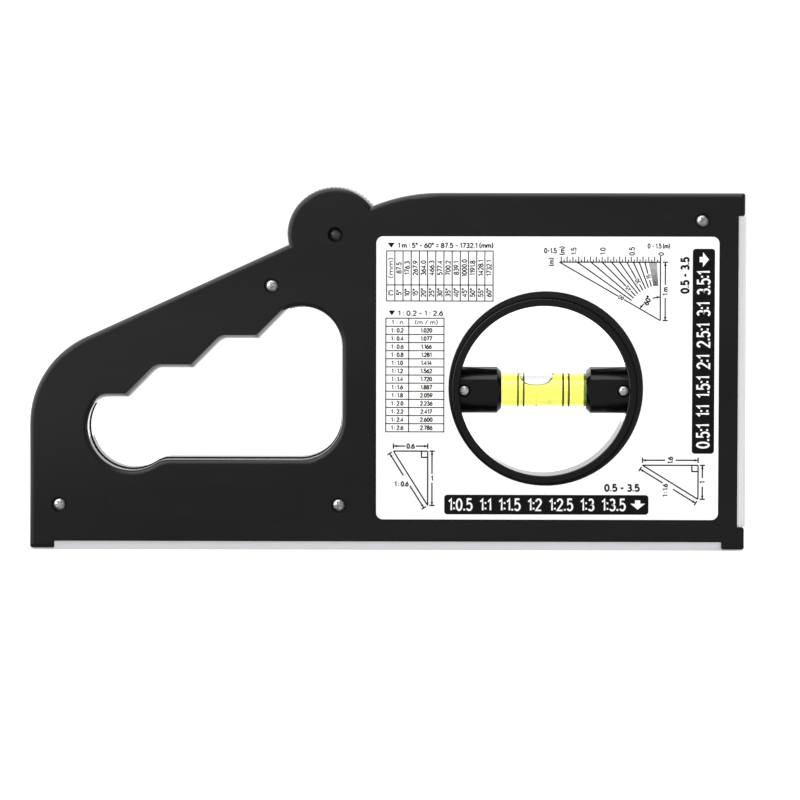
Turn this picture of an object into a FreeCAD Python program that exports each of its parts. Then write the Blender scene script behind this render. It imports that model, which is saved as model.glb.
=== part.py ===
import FreeCAD, Part

import math
import os

# Slope gauge with a turning bubble vial, a thumbwheel drive and two measuring rails.
#
# The finished part stands on its base rail: +X runs along the base, +Y points out of the
# front (dial) face and +Z is up.  Everything is drawn lying down, in a plan frame:
# u runs along the base, v is the height above the base rail's measuring face and
# w points out of the rear face.  stand_up() turns a plan shape into the part's own frame.

Vector = FreeCAD.Vector

# ---------------------------------------------------------------- driving dimensions (mm)
LEFT_EDGE = -150.0            # outer left edge of the case
SIDE_FACE = 150.0             # measuring face of the side rail
BODY_RIGHT = 146.6            # case edge behind the side rail
BODY_BOTTOM = 3.5             # case edge above the base rail
BODY_TOP = 149.6
FACE = 12.0                   # the rear face lies at w = FACE, the front face at w = -FACE
WALL = 2.5
INSIDE = FACE - WALL          # inner side of both face walls
SPLIT_STEP = 0.3              # groove where the two halves meet

# corner blocks that guard the rail ends
BLOCK_BOTTOM = 0.5
BLOCK_RIGHT = 149.4
BLOCK_LEFT_END = -139.7
BLOCK_RIGHT_START = 139.9
BLOCK_LOW_TOP = 9.9
BLOCK_HIGH_BOTTOM = 140.0
BLOCK_ROUNDING = 1.0

# grip side of the case
SLANT_ANGLE = 24.5            # degrees above the base
SLANT_POINT = (-45.0, 126.2)  # a point on the slanted edge
SHOULDER_RADIUS = 40.5
TOP_CURVE_START = 21.8        # where the flat top starts to fall towards the thumbwheel
TOP_CURVE_RADIUS = 74.0
TOP_CURVE_SWEEP = 28.0
EDGE_ROUNDING = 2.0

# handle opening, with finger steps that climb at 45 degrees
GRIP_FLOOR = 37.8
GRIP_RIGHT = -19.0
GRIP_FLOOR_CORNER = 17.6
GRIP_TOP_CORNER = 16.8
LOBE_CENTRE = (-107.3, 51.5)
LOBE_RADIUS = 18.3
FINGER_END = (-109.6, 65.4)   # right end of the lowest finger step
FINGER_STEP = (27.4, 12.3)    # from one finger step to the next
FINGER_COUNT = 3
FINGER_OUTER_ROUNDING = 2.1
FINGER_INNER_ROUNDING = 3.3
LOBE_TOP_BLEND = 3.0
LOBE_FLOOR_BLEND = 10.0
GRIP_EDGE_ROUNDING = 2.0
GRIP_LIP = 0.45               # the front half's opening is this much smaller than the rear's

# crown along the finger steps, which swells towards the split plane
CROWN_HEIGHT = 2.0
CROWN_SECTIONS = (0.0, 0.35, 0.7, 1.0)    # from the split plane to the face
CROWN_START = (-125.5, 58.6)
CROWN_BEND = -119.9
CROWN_BEND_ROUNDING = 5.0
CROWN_END = -38.0
CROWN_ROOT = 2.3              # how far it reaches into the wall

# thumbwheel in its bump
WHEEL_CENTRE = (-21.9, 132.1)
BUMP_CENTRE = (-22.4, 132.05)
BUMP_RADIUS = 19.55
WHEEL_RADIUS = 20.05
WHEEL_HALF_WIDTH = 5.0
WHEEL_GAP = 0.4
WHEEL_SLOT_RADIUS = 20.8
KNURL_RIDGES = 72
KNURL_DEPTH = 0.3
WHEEL_HUB_RADIUS = 6.5
WHEEL_RIM_THICKNESS = 3.2
WHEEL_WEB_HALF_WIDTH = 2.0
AXLE_RADIUS = 3.0
RUNNING_CLEARANCE = 0.05
AXLE_SOCKET = 1.2             # depth of the axle's seat in the front wall

# dial, its opening and the vial
DIAL_CENTRE = (65.6, 66.8)
DIAL_INNER_RADIUS = 35.55
DIAL_OUTER_RADIUS = 38.5
MOUTH_RADIUS = 39.3           # wider mouth of the bearing hole, at each face
MOUTH_DEPTH = 1.6
BEZEL_DEPTH = 3.0
FLANGE_RADIUS = 38.8          # flange of each bezel, inside the mouth
FLANGE_DEPTH = 1.5
LABEL_HOLE = ((66.25, 67.85), 40.7)   # the label's hole sits a little off the dial axis
PLATE_HOLE = (DIAL_CENTRE, 40.2)
BEARING_COLLAR_RADIUS = 41.0
BEARING_COLLAR_END = 3.0
HOLDER_RADIUS = 9.8
HOLDER_INNER_END = 17.8       # from the dial axis to the end of each vial holder
HOLDER_CHAMFER = 1.8
HOLDER_FLAT = 8.6             # flat rear face of each holder
VIAL_RADIUS = 7.0
VIAL_BORE_RADIUS = 6.4
VIAL_HALF_LENGTH = 25.0
PLUG_LENGTH = 3.0
VIAL_LINES = (8.3, 10.7)
VIAL_LINE_WIDTH = 0.5
VIAL_LINE_HEIGHT = 0.08
BUBBLE_LENGTH = 13.3
BUBBLE_DEPTH = 4.6
BUBBLE_HALF_WIDTH = 4.6
BUBBLE_REST = -3.0            # the bubble's place along the vial at rest
BUBBLE_TRAVEL = 7.0           # each way from the middle of the vial
BUBBLE_CLEARANCE = 0.3
LUG_START = 29.5
LUG_HALF_WIDTH = 5.0
LUG_TOP = -3.5

# gear train from thumbwheel to dial
MODULE = 1.5
DIAL_TEETH = 72
IDLER_TEETH = 30
PINION_TEETH = 16
PRESSURE_ANGLE = 20.0
ADDENDUM = 0.85               # in modules
DEDENDUM = 1.15               # in modules
BACKLASH = 0.30               # total, along the pitch circle
GEAR_FRONT = -9.1
GEAR_REAR = -5.3
IDLER_PIN_RADIUS = 2.0
IDLER_PIN_REAR = -1.0
IDLER_BOSS_RADIUS = 4.5

# rails: a foot outside the case, a web through its wall and a flange inside
RAIL_HALF_WIDTH = 11.0
RAIL_WEB_HALF_WIDTH = 3.0
RAIL_FLANGE_HALF_WIDTH = 6.0
RAIL_FLANGE_THICKNESS = 2.0
RAIL_EDGE = 0.3
SHADOW_GAP = 0.4              # groove between the case's face and each rail
SHADOW_DEPTH = 2.0

# label, scale plate and the bare frame on the grip
LABEL_LEFT = -4.65
LABEL_RIGHT = 138.5
LABEL_LOW = 12.9
LABEL_HIGH = 131.4
LABEL_CORNER = 2.8
LABEL_GAP = 0.35
LABEL_THICKNESS = 0.3
LABEL_RECESS = 0.4
PLATE_RECESS = 1.2
FRAME_LEFT = -117.5
FRAME_RIGHT = -37.0
FRAME_LOW = 12.3
FRAME_HIGH = 25.0
FRAME_LINE = 0.5
FRAME_DEPTH = 0.25
POINTER_TIP_RADIUS = 43.0
POINTER_THICKNESS = 0.5
POINTER_HALF_WIDTH = 2.2

# screws
CASE_SCREWS = ((-137.7, 18.9), (-20.4, 18.8), (-48.4, 110.7), (131.5, 138.1), (131.0, 18.9))
SCREW_HEAD_RADIUS = 2.55
SCREW_HEAD_HEIGHT = 1.7
SCREW_SHANK_RADIUS = 1.45
SCREW_SHANK_LENGTH = 14.0
SCREW_HOLE_RADIUS = 1.7
RECESS_RADIUS = 3.2
RECESS_DEPTH = 2.7
BOSS_RADIUS = 4.6
AXLE_SCREW_RECESS = 5.0
AXLE_SCREW_HEAD_RADIUS = 2.7
AXLE_SCREW_LENGTH = 12.0
HOLDER_SCREW_OFFSET = 33.4
HOLDER_SCREW_HEAD_RADIUS = 1.95
HOLDER_SCREW_SHANK_RADIUS = 1.15
HOLDER_SCREW_RECESS_RADIUS = 2.65
HOLDER_SCREW_SEAT = 6.6
HOLDER_SCREW_LENGTH = 13.0
CROSS_WIDTH = 0.7
CROSS_DEPTH = 0.9

WASHER_INNER = 42.0
WASHER_OUTER = 50.0


# ---------------------------------------------------------------- plan geometry helpers
def rounded_wire(corners):
    """Closed wire through corners (u, v, radius), each rounded by a tangent arc."""
    count = len(corners)
    starts = []
    ends = []
    middles = []
    for index in range(count):
        u, v, radius = corners[index]
        corner = Vector(u, v, 0)
        before = Vector(*corners[index - 1][:2], 0)
        after = Vector(*corners[(index + 1) % count][:2], 0)
        back = (before - corner).normalize()
        ahead = (after - corner).normalize()
        half = back.getAngle(ahead) / 2
        if radius <= 0:
            starts.append(corner)
            ends.append(corner)
            middles.append(None)
            continue
        tangent = radius / math.tan(half)
        bisector = (back + ahead).normalize()
        centre = corner + bisector * (radius / math.sin(half))
        starts.append(corner + back * tangent)
        ends.append(corner + ahead * tangent)
        middles.append(centre - bisector * radius)
    edges = []
    for index in range(count):
        if middles[index] is not None:
            edges.append(Part.Arc(starts[index], middles[index], ends[index]).toShape())
        following = (index + 1) % count
        if (starts[following] - ends[index]).Length > 1e-6:
            edges.append(Part.LineSegment(ends[index], starts[following]).toShape())
    return Part.Wire(edges)


def grown_corners(corners, distance):
    """Corners of a counter-clockwise outline moved outwards by distance."""
    count = len(corners)
    lines = []
    for index in range(count):
        start = Vector(*corners[index][:2], 0)
        end = Vector(*corners[(index + 1) % count][:2], 0)
        along = (end - start).normalize()
        outwards = Vector(along.y, -along.x, 0)
        lines.append((start + outwards * distance, along))
    grown = []
    for index in range(count):
        point_a, along_a = lines[index - 1]
        point_b, along_b = lines[index]
        turn = along_a.x * along_b.y - along_a.y * along_b.x
        gap = point_b - point_a
        reach = (gap.x * along_b.y - gap.y * along_b.x) / turn
        corner = point_a + along_a * reach
        radius = corners[index][2]
        if radius > 0:
            radius += distance if turn > 0 else -distance
        grown.append((corner.x, corner.y, max(radius, 0.0)))
    return grown


def plate(corners, low, high):
    """Flat solid with a rounded outline, from w = low to w = high."""
    solid = Part.Face(rounded_wire(corners)).extrude(Vector(0, 0, high - low))
    solid.translate(Vector(0, 0, low))
    return solid


def box(u_low, u_high, v_low, v_high, w_low, w_high):
    return Part.makeBox(u_high - u_low, v_high - v_low, w_high - w_low, Vector(u_low, v_low, w_low))


def disc(centre, radius, low, high):
    return Part.makeCylinder(radius, high - low, Vector(centre[0], centre[1], low))


def tube(centre, outer, inner, low, high):
    return disc(centre, outer, low, high).cut(disc(centre, inner, low, high))


def joined(shapes):
    """One clean solid from touching or overlapping solids."""
    return shapes[0].multiFuse(shapes[1:]).removeSplitter()


def mirrored(shape):
    """The same shape on the other side of the split plane."""
    return shape.mirror(Vector(0, 0, 0), Vector(0, 0, 1))


def edges_at(shape, level, keep):
    """Edges that lie in the plane w = level and whose middle passes the test."""
    found = []
    for edge in shape.Edges:
        bounds = edge.BoundBox
        if abs(bounds.ZMin - level) > 1e-4 or abs(bounds.ZMax - level) > 1e-4:
            continue
        middle = edge.valueAt((edge.FirstParameter + edge.LastParameter) / 2)
        if keep(middle):
            found.append(edge)
    return found


# ---------------------------------------------------------------- case outline
def slant_height(u):
    return SLANT_POINT[1] + math.tan(math.radians(SLANT_ANGLE)) * (u - SLANT_POINT[0])


def top_curve_corners():
    """Corner of the falling top curve and a point beyond its end, inside the bump."""
    sweep = math.radians(TOP_CURVE_SWEEP)
    tangent = TOP_CURVE_RADIUS * math.tan(sweep / 2)
    corner_u = TOP_CURVE_START - tangent
    reach = tangent + 3.5
    end = (corner_u - reach * math.cos(sweep), BODY_TOP - reach * math.sin(sweep))
    return corner_u, end


def grip_side_corners():
    """Corners from the flat top to the left edge, counter-clockwise."""
    curve_u, curve_end = top_curve_corners()
    slant_start = WHEEL_CENTRE[0] - 8.0
    return [
        (curve_u, BODY_TOP, TOP_CURVE_RADIUS),
        (curve_end[0], curve_end[1], 0),
        (slant_start, slant_height(slant_start), 0),
        (LEFT_EDGE, slant_height(LEFT_EDGE), SHOULDER_RADIUS),
    ]


def outer_corners():
    """Outline of the case with its corner blocks, without the bump."""
    rounding = BLOCK_ROUNDING
    return [
        (LEFT_EDGE, BLOCK_BOTTOM, rounding),
        (BLOCK_LEFT_END, BLOCK_BOTTOM, rounding),
        (BLOCK_LEFT_END, BODY_BOTTOM, 0),
        (BLOCK_RIGHT_START, BODY_BOTTOM, 0),
        (BLOCK_RIGHT_START, BLOCK_BOTTOM, rounding),
        (BLOCK_RIGHT, BLOCK_BOTTOM, rounding),
        (BLOCK_RIGHT, BLOCK_LOW_TOP, rounding),
        (BODY_RIGHT, BLOCK_LOW_TOP, 0),
        (BODY_RIGHT, BLOCK_HIGH_BOTTOM, 0),
        (BLOCK_RIGHT, BLOCK_HIGH_BOTTOM, rounding),
        (BLOCK_RIGHT, BODY_TOP, rounding),
    ] + grip_side_corners()


def room_corners():
    """Outline of the room inside the case, one wall in from the rails and edges."""
    plain = [
        (LEFT_EDGE, BODY_BOTTOM, 0),
        (BODY_RIGHT, BODY_BOTTOM, 0),
        (BODY_RIGHT, BODY_TOP, 0),
    ] + grip_side_corners()
    return grown_corners(plain, -WALL)


def handle_opening(grow, low, high):
    """Space of the handle opening, grown outwards by grow."""
    end_u, end_v = FINGER_END
    step_u, step_v = FINGER_STEP
    crest = end_v + (GRIP_RIGHT - end_u) + (step_v - step_u) * (FINGER_COUNT - 1)
    corners = [
        (LOBE_CENTRE[0], GRIP_FLOOR, 0),
        (GRIP_RIGHT, GRIP_FLOOR, GRIP_FLOOR_CORNER),
        (GRIP_RIGHT, crest, GRIP_TOP_CORNER),
    ]
    for index in reversed(range(FINGER_COUNT)):
        flat_v = end_v + step_v * index
        corners.append((end_u + step_u * index, flat_v, FINGER_OUTER_ROUNDING))
        if index:
            start_u = end_u + step_u * (index - 1) + step_v
            corners.append((start_u, flat_v, FINGER_INNER_ROUNDING))
    corners.append((LOBE_CENTRE[0] - 6.0, end_v, 0))
    hand_room = plate(grown_corners(corners, grow), low, high)
    lobe = disc(LOBE_CENTRE, LOBE_RADIUS + grow, low, high)
    above = box(-200, 0, end_v + grow, 200, low, high)
    space = joined([hand_room, lobe.cut(above)])
    floor_v = GRIP_FLOOR - grow
    return blend_lobe(space, end_v + grow, floor_v, LOBE_TOP_BLEND + grow, LOBE_FLOOR_BLEND - grow)


def blend_lobe(space, flat_v, floor_v, top_blend, floor_blend):
    """Round the two upright edges where the thumb lobe meets the rest."""
    top_edges = []
    floor_edges = []
    for edge in space.Edges:
        bounds = edge.BoundBox
        if bounds.XLength > 1e-4 or bounds.YLength > 1e-4:
            continue
        if abs(bounds.YMin - flat_v) < 0.01 and bounds.XMin < LOBE_CENTRE[0] - 8.0:
            top_edges.append(edge)
        if abs(bounds.YMin - floor_v) < 0.01 and bounds.XMin < LOBE_CENTRE[0] + 20.0:
            floor_edges.append(edge)
    space = space.makeFillet(floor_blend, floor_edges)
    kept_top = [edge for edge in space.Edges if is_same_upright(edge, top_edges[0])]
    return space.makeFillet(top_blend, kept_top)


def is_same_upright(edge, other):
    a = edge.BoundBox
    b = other.BoundBox
    if a.XLength > 1e-4 or a.YLength > 1e-4:
        return False
    return abs(a.XMin - b.XMin) < 1e-3 and abs(a.YMin - b.YMin) < 1e-3


def finger_corners(drop, end):
    """Line of the finger steps moved into the opening by drop, up to u = end."""
    end_u, end_v = FINGER_END
    step_u, step_v = FINGER_STEP
    aside = drop * (math.sqrt(2) - 1)
    corners = [(*CROWN_START, 0), (CROWN_BEND, end_v - drop, CROWN_BEND_ROUNDING)]
    for index in range(FINGER_COUNT):
        flat_v = end_v + step_v * index - drop
        if index:
            start_u = end_u + step_u * (index - 1) + step_v
            corners.append((start_u + aside, flat_v, FINGER_INNER_ROUNDING))
        corners.append((end_u + step_u * index + aside, flat_v, FINGER_OUTER_ROUNDING))
    last_u, last_v = corners[-1][:2]
    corners.append((end, last_v + end - last_u, 0))
    return corners


def crown_wire(drop, height):
    """Outline of the crown across the grip at one height, swollen by drop."""
    root = [(u, v, 0) for u, v, radius in finger_corners(-CROWN_ROOT, CROWN_END - CROWN_ROOT)[1:]]
    wire = rounded_wire(finger_corners(drop, CROWN_END) + root[::-1])
    wire.translate(Vector(0, 0, height))
    return wire


def finger_crown():
    """Swelling of the finger steps towards the split plane, and its step at the split."""
    sections = []
    for share in CROWN_SECTIONS:
        height = SPLIT_STEP + (FACE - SPLIT_STEP) * share
        sections.append(crown_wire(CROWN_HEIGHT * (1 - share ** 2), height))
    crown = Part.makeLoft(sections, True, False)
    step = Part.Face(crown_wire(CROWN_HEIGHT - SPLIT_STEP, 0)).extrude(Vector(0, 0, SPLIT_STEP))
    return crown.fuse(step)


# ---------------------------------------------------------------- case halves
def soft_outline(point):
    """True for the edges of the grip side and top, which are rounded."""
    return point.x < BODY_RIGHT - 1.0 and point.y > BODY_BOTTOM + 1.0


def is_grip_edge(point):
    inside_u = LOBE_CENTRE[0] - LOBE_RADIUS - 1.0 < point.x < GRIP_RIGHT + 1.0
    return inside_u and GRIP_FLOOR - 6.0 < point.y < 104.0


def half_block(lip):
    """Outer form of one case half, with rounded edges and the handle opening."""
    body = plate(outer_corners(), 0, FACE)
    body = body.makeFillet(EDGE_ROUNDING, edges_at(body, FACE, soft_outline))
    bump = disc(BUMP_CENTRE, BUMP_RADIUS, 0, FACE)
    bump = bump.makeFillet(EDGE_ROUNDING, edges_at(bump, FACE, lambda point: True))
    block = joined([body, bump]).cut(handle_opening(-lip, -1, FACE + 1))
    return block.makeFillet(GRIP_EDGE_ROUNDING, edges_at(block, FACE, is_grip_edge))


def split_groove(lip):
    """Narrow step around the outer edge and the handle opening, at the split plane."""
    rim = plate(outer_corners(), 0, SPLIT_STEP)
    core = plate(grown_corners(outer_corners(), -SPLIT_STEP), 0, SPLIT_STEP)
    bump = disc(BUMP_CENTRE, BUMP_RADIUS, 0, SPLIT_STEP)
    grip = handle_opening(SPLIT_STEP - lip, 0, SPLIT_STEP)
    return rim.cut(core).cut(bump).fuse(grip)


def half_shell(lip):
    """One case half before its own holes: outer form, room inside and rail slots."""
    room = joined([
        plate(room_corners(), -1, INSIDE),
        disc(BUMP_CENTRE, BUMP_RADIUS - WALL, -1, INSIDE),
    ])
    room = room.cut(handle_opening(WALL - lip, -2, INSIDE + 1))
    shell = half_block(lip).cut(room).cut(split_groove(lip)).fuse(finger_crown())
    shell = shell.cut(disc(WHEEL_CENTRE, WHEEL_SLOT_RADIUS, -1, WHEEL_HALF_WIDTH + WHEEL_GAP))
    web = RAIL_WEB_HALF_WIDTH
    shell = shell.cut(box(BLOCK_LEFT_END, BLOCK_RIGHT_START, 0, BODY_BOTTOM + WALL, -1, web))
    shell = shell.cut(box(BODY_RIGHT - WALL, SIDE_FACE, BLOCK_LOW_TOP, BLOCK_HIGH_BOTTOM, -1, web))
    return shell.cut(shadow_gaps())


def shadow_gaps():
    """Narrow grooves between the case's face and the two rails."""
    deep = FACE - SHADOW_DEPTH
    high = BODY_BOTTOM + SHADOW_GAP
    near = BODY_RIGHT - SHADOW_GAP
    base = box(BLOCK_LEFT_END, BLOCK_RIGHT_START, BODY_BOTTOM - 1, high, deep, FACE + 1)
    return base.fuse(box(near, BODY_RIGHT + 1, BLOCK_LOW_TOP, BLOCK_HIGH_BOTTOM, deep, FACE + 1))


def label_corners(grow):
    return grown_corners([
        (LABEL_LEFT, LABEL_LOW, LABEL_CORNER),
        (LABEL_RIGHT, LABEL_LOW, LABEL_CORNER),
        (LABEL_RIGHT, LABEL_HIGH, LABEL_CORNER),
        (LABEL_LEFT, LABEL_HIGH, LABEL_CORNER),
    ], grow)


def panel_recess(depth, lip_top, hole):
    """Shallow recess for the label or plate, around the lip that fills the sheet's hole."""
    recess = plate(label_corners(LABEL_GAP), FACE - depth, FACE + 1)
    return recess.cut(disc(*hole, FACE - depth, lip_top))


def dial_hole():
    """Bearing hole of the dial with a wider mouth at the face."""
    bearing = disc(DIAL_CENTRE, DIAL_OUTER_RADIUS + RUNNING_CLEARANCE, -FACE, FACE + 1)
    mouth = disc(DIAL_CENTRE, MOUTH_RADIUS, FACE - MOUTH_DEPTH, FACE + 1)
    return bearing.fuse(mouth)


def grip_frame():
    """Shallow engraved line around a bare panel under the handle opening."""
    corners = [
        (FRAME_LEFT, FRAME_LOW, 0),
        (FRAME_RIGHT, FRAME_LOW, 0),
        (FRAME_RIGHT, FRAME_HIGH, 0),
        (FRAME_LEFT, FRAME_HIGH, 0),
    ]
    outer = plate(grown_corners(corners, FRAME_LINE), FACE - FRAME_DEPTH, FACE + 1)
    return outer.cut(plate(corners, FACE - FRAME_DEPTH, FACE + 1))


def make_rear_cover():
    additions = [half_shell(0.0)]
    for centre in CASE_SCREWS:
        additions.append(disc(centre, BOSS_RADIUS, 0, INSIDE))
    collar = (BEARING_COLLAR_RADIUS, DIAL_OUTER_RADIUS, BEARING_COLLAR_END, INSIDE)
    additions.append(tube(DIAL_CENTRE, *collar))
    additions.append(disc(WHEEL_CENTRE, WHEEL_HUB_RADIUS, WHEEL_HALF_WIDTH + WHEEL_GAP, INSIDE))
    additions.append(disc(idler_centre(), IDLER_BOSS_RADIUS, GEAR_REAR + WHEEL_GAP, INSIDE))
    cover = joined(additions)
    recess = panel_recess(LABEL_RECESS, FACE + 1, LABEL_HOLE)
    cover = cover.cut(dial_hole()).cut(recess).cut(grip_frame())
    for centre in CASE_SCREWS:
        cover = cover.cut(disc(centre, RECESS_RADIUS, FACE - RECESS_DEPTH, FACE + 1))
        cover = cover.cut(disc(centre, SCREW_HOLE_RADIUS, -1, FACE))
    cover = cover.cut(disc(WHEEL_CENTRE, RECESS_RADIUS, FACE - AXLE_SCREW_RECESS, FACE + 1))
    cover = cover.cut(disc(WHEEL_CENTRE, SCREW_HOLE_RADIUS, 0, FACE))
    return cover.cut(disc(idler_centre(), IDLER_PIN_RADIUS, GEAR_REAR, IDLER_PIN_REAR))


def make_front_case():
    additions = [half_shell(GRIP_LIP)]
    for centre in CASE_SCREWS:
        additions.append(disc(centre, BOSS_RADIUS, 0, INSIDE))
    shell = joined(additions)
    plate_top = FACE - PLATE_RECESS + LABEL_THICKNESS
    shell = shell.cut(dial_hole()).cut(panel_recess(PLATE_RECESS, plate_top, PLATE_HOLE))
    case = mirrored(shell)
    for centre in CASE_SCREWS:
        depth = SCREW_SHANK_LENGTH - (FACE - RECESS_DEPTH)
        case = case.cut(disc(centre, SCREW_SHANK_RADIUS, -depth - 1.0, 0))
    case = case.cut(disc(WHEEL_CENTRE, AXLE_RADIUS, -INSIDE - AXLE_SOCKET, 0))
    return case.cut(disc(idler_centre(), IDLER_PIN_RADIUS, -INSIDE - AXLE_SOCKET, 0))


# ---------------------------------------------------------------- rails
def rail(length, depth):
    """Rail along +u with its measuring face at v = 0, its foot depth deep, its flange above."""
    foot = box(0, length, 0, depth, -RAIL_HALF_WIDTH, RAIL_HALF_WIDTH)
    foot = foot.makeChamfer(RAIL_EDGE, [
        edge for edge in foot.Edges
        if edge.BoundBox.XLength > 1 and abs(edge.BoundBox.YMax) < 1e-6
    ])
    web = box(0, length, depth, depth + WALL, -RAIL_WEB_HALF_WIDTH, RAIL_WEB_HALF_WIDTH)
    flange_low = depth + WALL
    flange_high = flange_low + RAIL_FLANGE_THICKNESS
    flange = box(0, length, flange_low, flange_high, -RAIL_FLANGE_HALF_WIDTH, RAIL_FLANGE_HALF_WIDTH)
    return joined([foot, web, flange])


def make_base_rail():
    rail_solid = rail(BLOCK_RIGHT_START - BLOCK_LEFT_END, BODY_BOTTOM)
    rail_solid.translate(Vector(BLOCK_LEFT_END, 0, 0))
    return rail_solid


def make_side_rail():
    rail_solid = rail(BLOCK_HIGH_BOTTOM - BLOCK_LOW_TOP, SIDE_FACE - BODY_RIGHT)
    rail_solid.rotate(Vector(0, 0, 0), Vector(0, 0, 1), 90)
    rail_solid.translate(Vector(SIDE_FACE, BLOCK_LOW_TOP, 0))
    return rail_solid


# ---------------------------------------------------------------- gears
def involute_point(base_radius, radius, turn):
    """Point on an involute at the given radius, turned by turn radians."""
    pressure = math.acos(min(1.0, base_radius / radius))
    angle = turn + math.tan(pressure) - pressure
    return Vector(radius * math.cos(angle), radius * math.sin(angle), 0)


def gear_wire(teeth, first_tooth):
    """Outline of a spur gear with one tooth centred at first_tooth degrees."""
    pitch = teeth * MODULE / 2
    base = pitch * math.cos(math.radians(PRESSURE_ANGLE))
    tip = pitch + ADDENDUM * MODULE
    root = pitch - DEDENDUM * MODULE
    low = max(base * 1.002, root)
    pressure = math.radians(PRESSURE_ANGLE)
    half_tooth = math.pi / (2 * teeth) - BACKLASH / (4 * pitch)
    start = half_tooth + math.tan(pressure) - pressure
    edges = []
    previous = None
    first = None
    for index in range(teeth):
        centre = math.radians(first_tooth) + 2 * math.pi * index / teeth
        rising = []
        for radius in (low, (low + tip) / 2, tip):
            point = involute_point(base, radius, 0)
            rising.append((radius, math.atan2(point.y, point.x) - start))
        right = [polar(radius, centre + angle) for radius, angle in rising]
        left = [polar(radius, centre - angle) for radius, angle in reversed(rising)]
        root_right = polar(root, centre + rising[0][1])
        root_left = polar(root, centre - rising[0][1])
        if previous is None:
            first = root_right
        else:
            gap_angle = centre - math.pi / teeth
            edges.append(Part.Arc(previous, polar(root, gap_angle), root_right).toShape())
        if (root_right - right[0]).Length > 1e-6:
            edges.append(Part.LineSegment(root_right, right[0]).toShape())
        edges.append(Part.Arc(*right).toShape())
        edges.append(Part.Arc(right[2], polar(tip, centre), left[0]).toShape())
        edges.append(Part.Arc(*left).toShape())
        if (root_left - left[2]).Length > 1e-6:
            edges.append(Part.LineSegment(left[2], root_left).toShape())
        previous = root_left
    gap_angle = math.radians(first_tooth) - math.pi / teeth
    edges.append(Part.Arc(previous, polar(root, gap_angle), first).toShape())
    return Part.Wire(edges)


def polar(radius, angle):
    return Vector(radius * math.cos(angle), radius * math.sin(angle), 0)


def gear(teeth, first_tooth, centre, bore):
    body = Part.Face(gear_wire(teeth, first_tooth)).extrude(Vector(0, 0, GEAR_REAR - GEAR_FRONT))
    body.translate(Vector(centre[0], centre[1], GEAR_FRONT))
    return body.cut(disc(centre, bore, GEAR_FRONT, GEAR_REAR))


def idler_centre():
    """Where the idler meshes with both the dial gear and the pinion."""
    to_dial = (DIAL_TEETH + IDLER_TEETH) * MODULE / 2
    to_wheel = (PINION_TEETH + IDLER_TEETH) * MODULE / 2
    across = Vector(WHEEL_CENTRE[0] - DIAL_CENTRE[0], WHEEL_CENTRE[1] - DIAL_CENTRE[1], 0)
    span = across.Length
    along = (to_dial ** 2 - to_wheel ** 2 + span ** 2) / (2 * span)
    aside = math.sqrt(to_dial ** 2 - along ** 2)
    direction = across.normalize()
    sideways = Vector(direction.y, -direction.x, 0)
    return (
        DIAL_CENTRE[0] + direction.x * along + sideways.x * aside,
        DIAL_CENTRE[1] + direction.y * along + sideways.y * aside,
    )


def bearing_of(start, end):
    """Direction from start to end, in degrees."""
    return math.degrees(math.atan2(end[1] - start[1], end[0] - start[0]))


def meshed_phase(teeth_a, phase_a, direction, teeth_b):
    """Tooth position of gear b that meshes with gear a, which sees b in this direction."""
    place_a = (direction - phase_a) * teeth_a / 360.0
    return direction + 180.0 - (0.5 - place_a) * 360.0 / teeth_b


def gear_phases():
    idler = idler_centre()
    dial_phase = 0.0
    idler_phase = meshed_phase(DIAL_TEETH, dial_phase, bearing_of(DIAL_CENTRE, idler), IDLER_TEETH)
    to_wheel = bearing_of(idler, WHEEL_CENTRE)
    pinion_phase = meshed_phase(IDLER_TEETH, idler_phase, to_wheel, PINION_TEETH)
    return dial_phase, idler_phase, pinion_phase


# ---------------------------------------------------------------- thumbwheel
def knurled_wire():
    """Rim outline with rounded hollows between its ridges."""
    step = 2 * math.pi / KNURL_RIDGES
    land = step * 0.22
    edges = []
    for index in range(KNURL_RIDGES):
        centre = index * step
        start = polar(WHEEL_RADIUS, centre - land)
        end = polar(WHEEL_RADIUS, centre + land)
        following = polar(WHEEL_RADIUS, centre + step - land)
        hollow = polar(WHEEL_RADIUS - KNURL_DEPTH, centre + step / 2)
        edges.append(Part.Arc(start, polar(WHEEL_RADIUS, centre), end).toShape())
        edges.append(Part.Arc(end, hollow, following).toShape())
    return Part.Wire(edges)


def make_thumbwheel():
    half = WHEEL_HALF_WIDTH
    rim = Part.Face(knurled_wire()).extrude(Vector(0, 0, 2 * half))
    rim.translate(Vector(WHEEL_CENTRE[0], WHEEL_CENTRE[1], -half))
    inner = WHEEL_RADIUS - WHEEL_RIM_THICKNESS
    for low, high in ((WHEEL_WEB_HALF_WIDTH, half), (-half, -WHEEL_WEB_HALF_WIDTH)):
        rim = rim.cut(tube(WHEEL_CENTRE, inner, WHEEL_HUB_RADIUS, low, high))
    return rim.cut(disc(WHEEL_CENTRE, AXLE_RADIUS + RUNNING_CLEARANCE, -half, half))


def make_drive_pinion(phase):
    bore = AXLE_RADIUS + RUNNING_CLEARANCE
    pinion = gear(PINION_TEETH, phase, WHEEL_CENTRE, bore)
    neck = tube(WHEEL_CENTRE, WHEEL_HUB_RADIUS, bore, GEAR_REAR, -WHEEL_HALF_WIDTH)
    return joined([pinion, neck])


def make_wheel_axle():
    low = -INSIDE - AXLE_SOCKET
    high = WHEEL_HALF_WIDTH + WHEEL_GAP
    return tube(WHEEL_CENTRE, AXLE_RADIUS, SCREW_SHANK_RADIUS, low, high)


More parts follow.
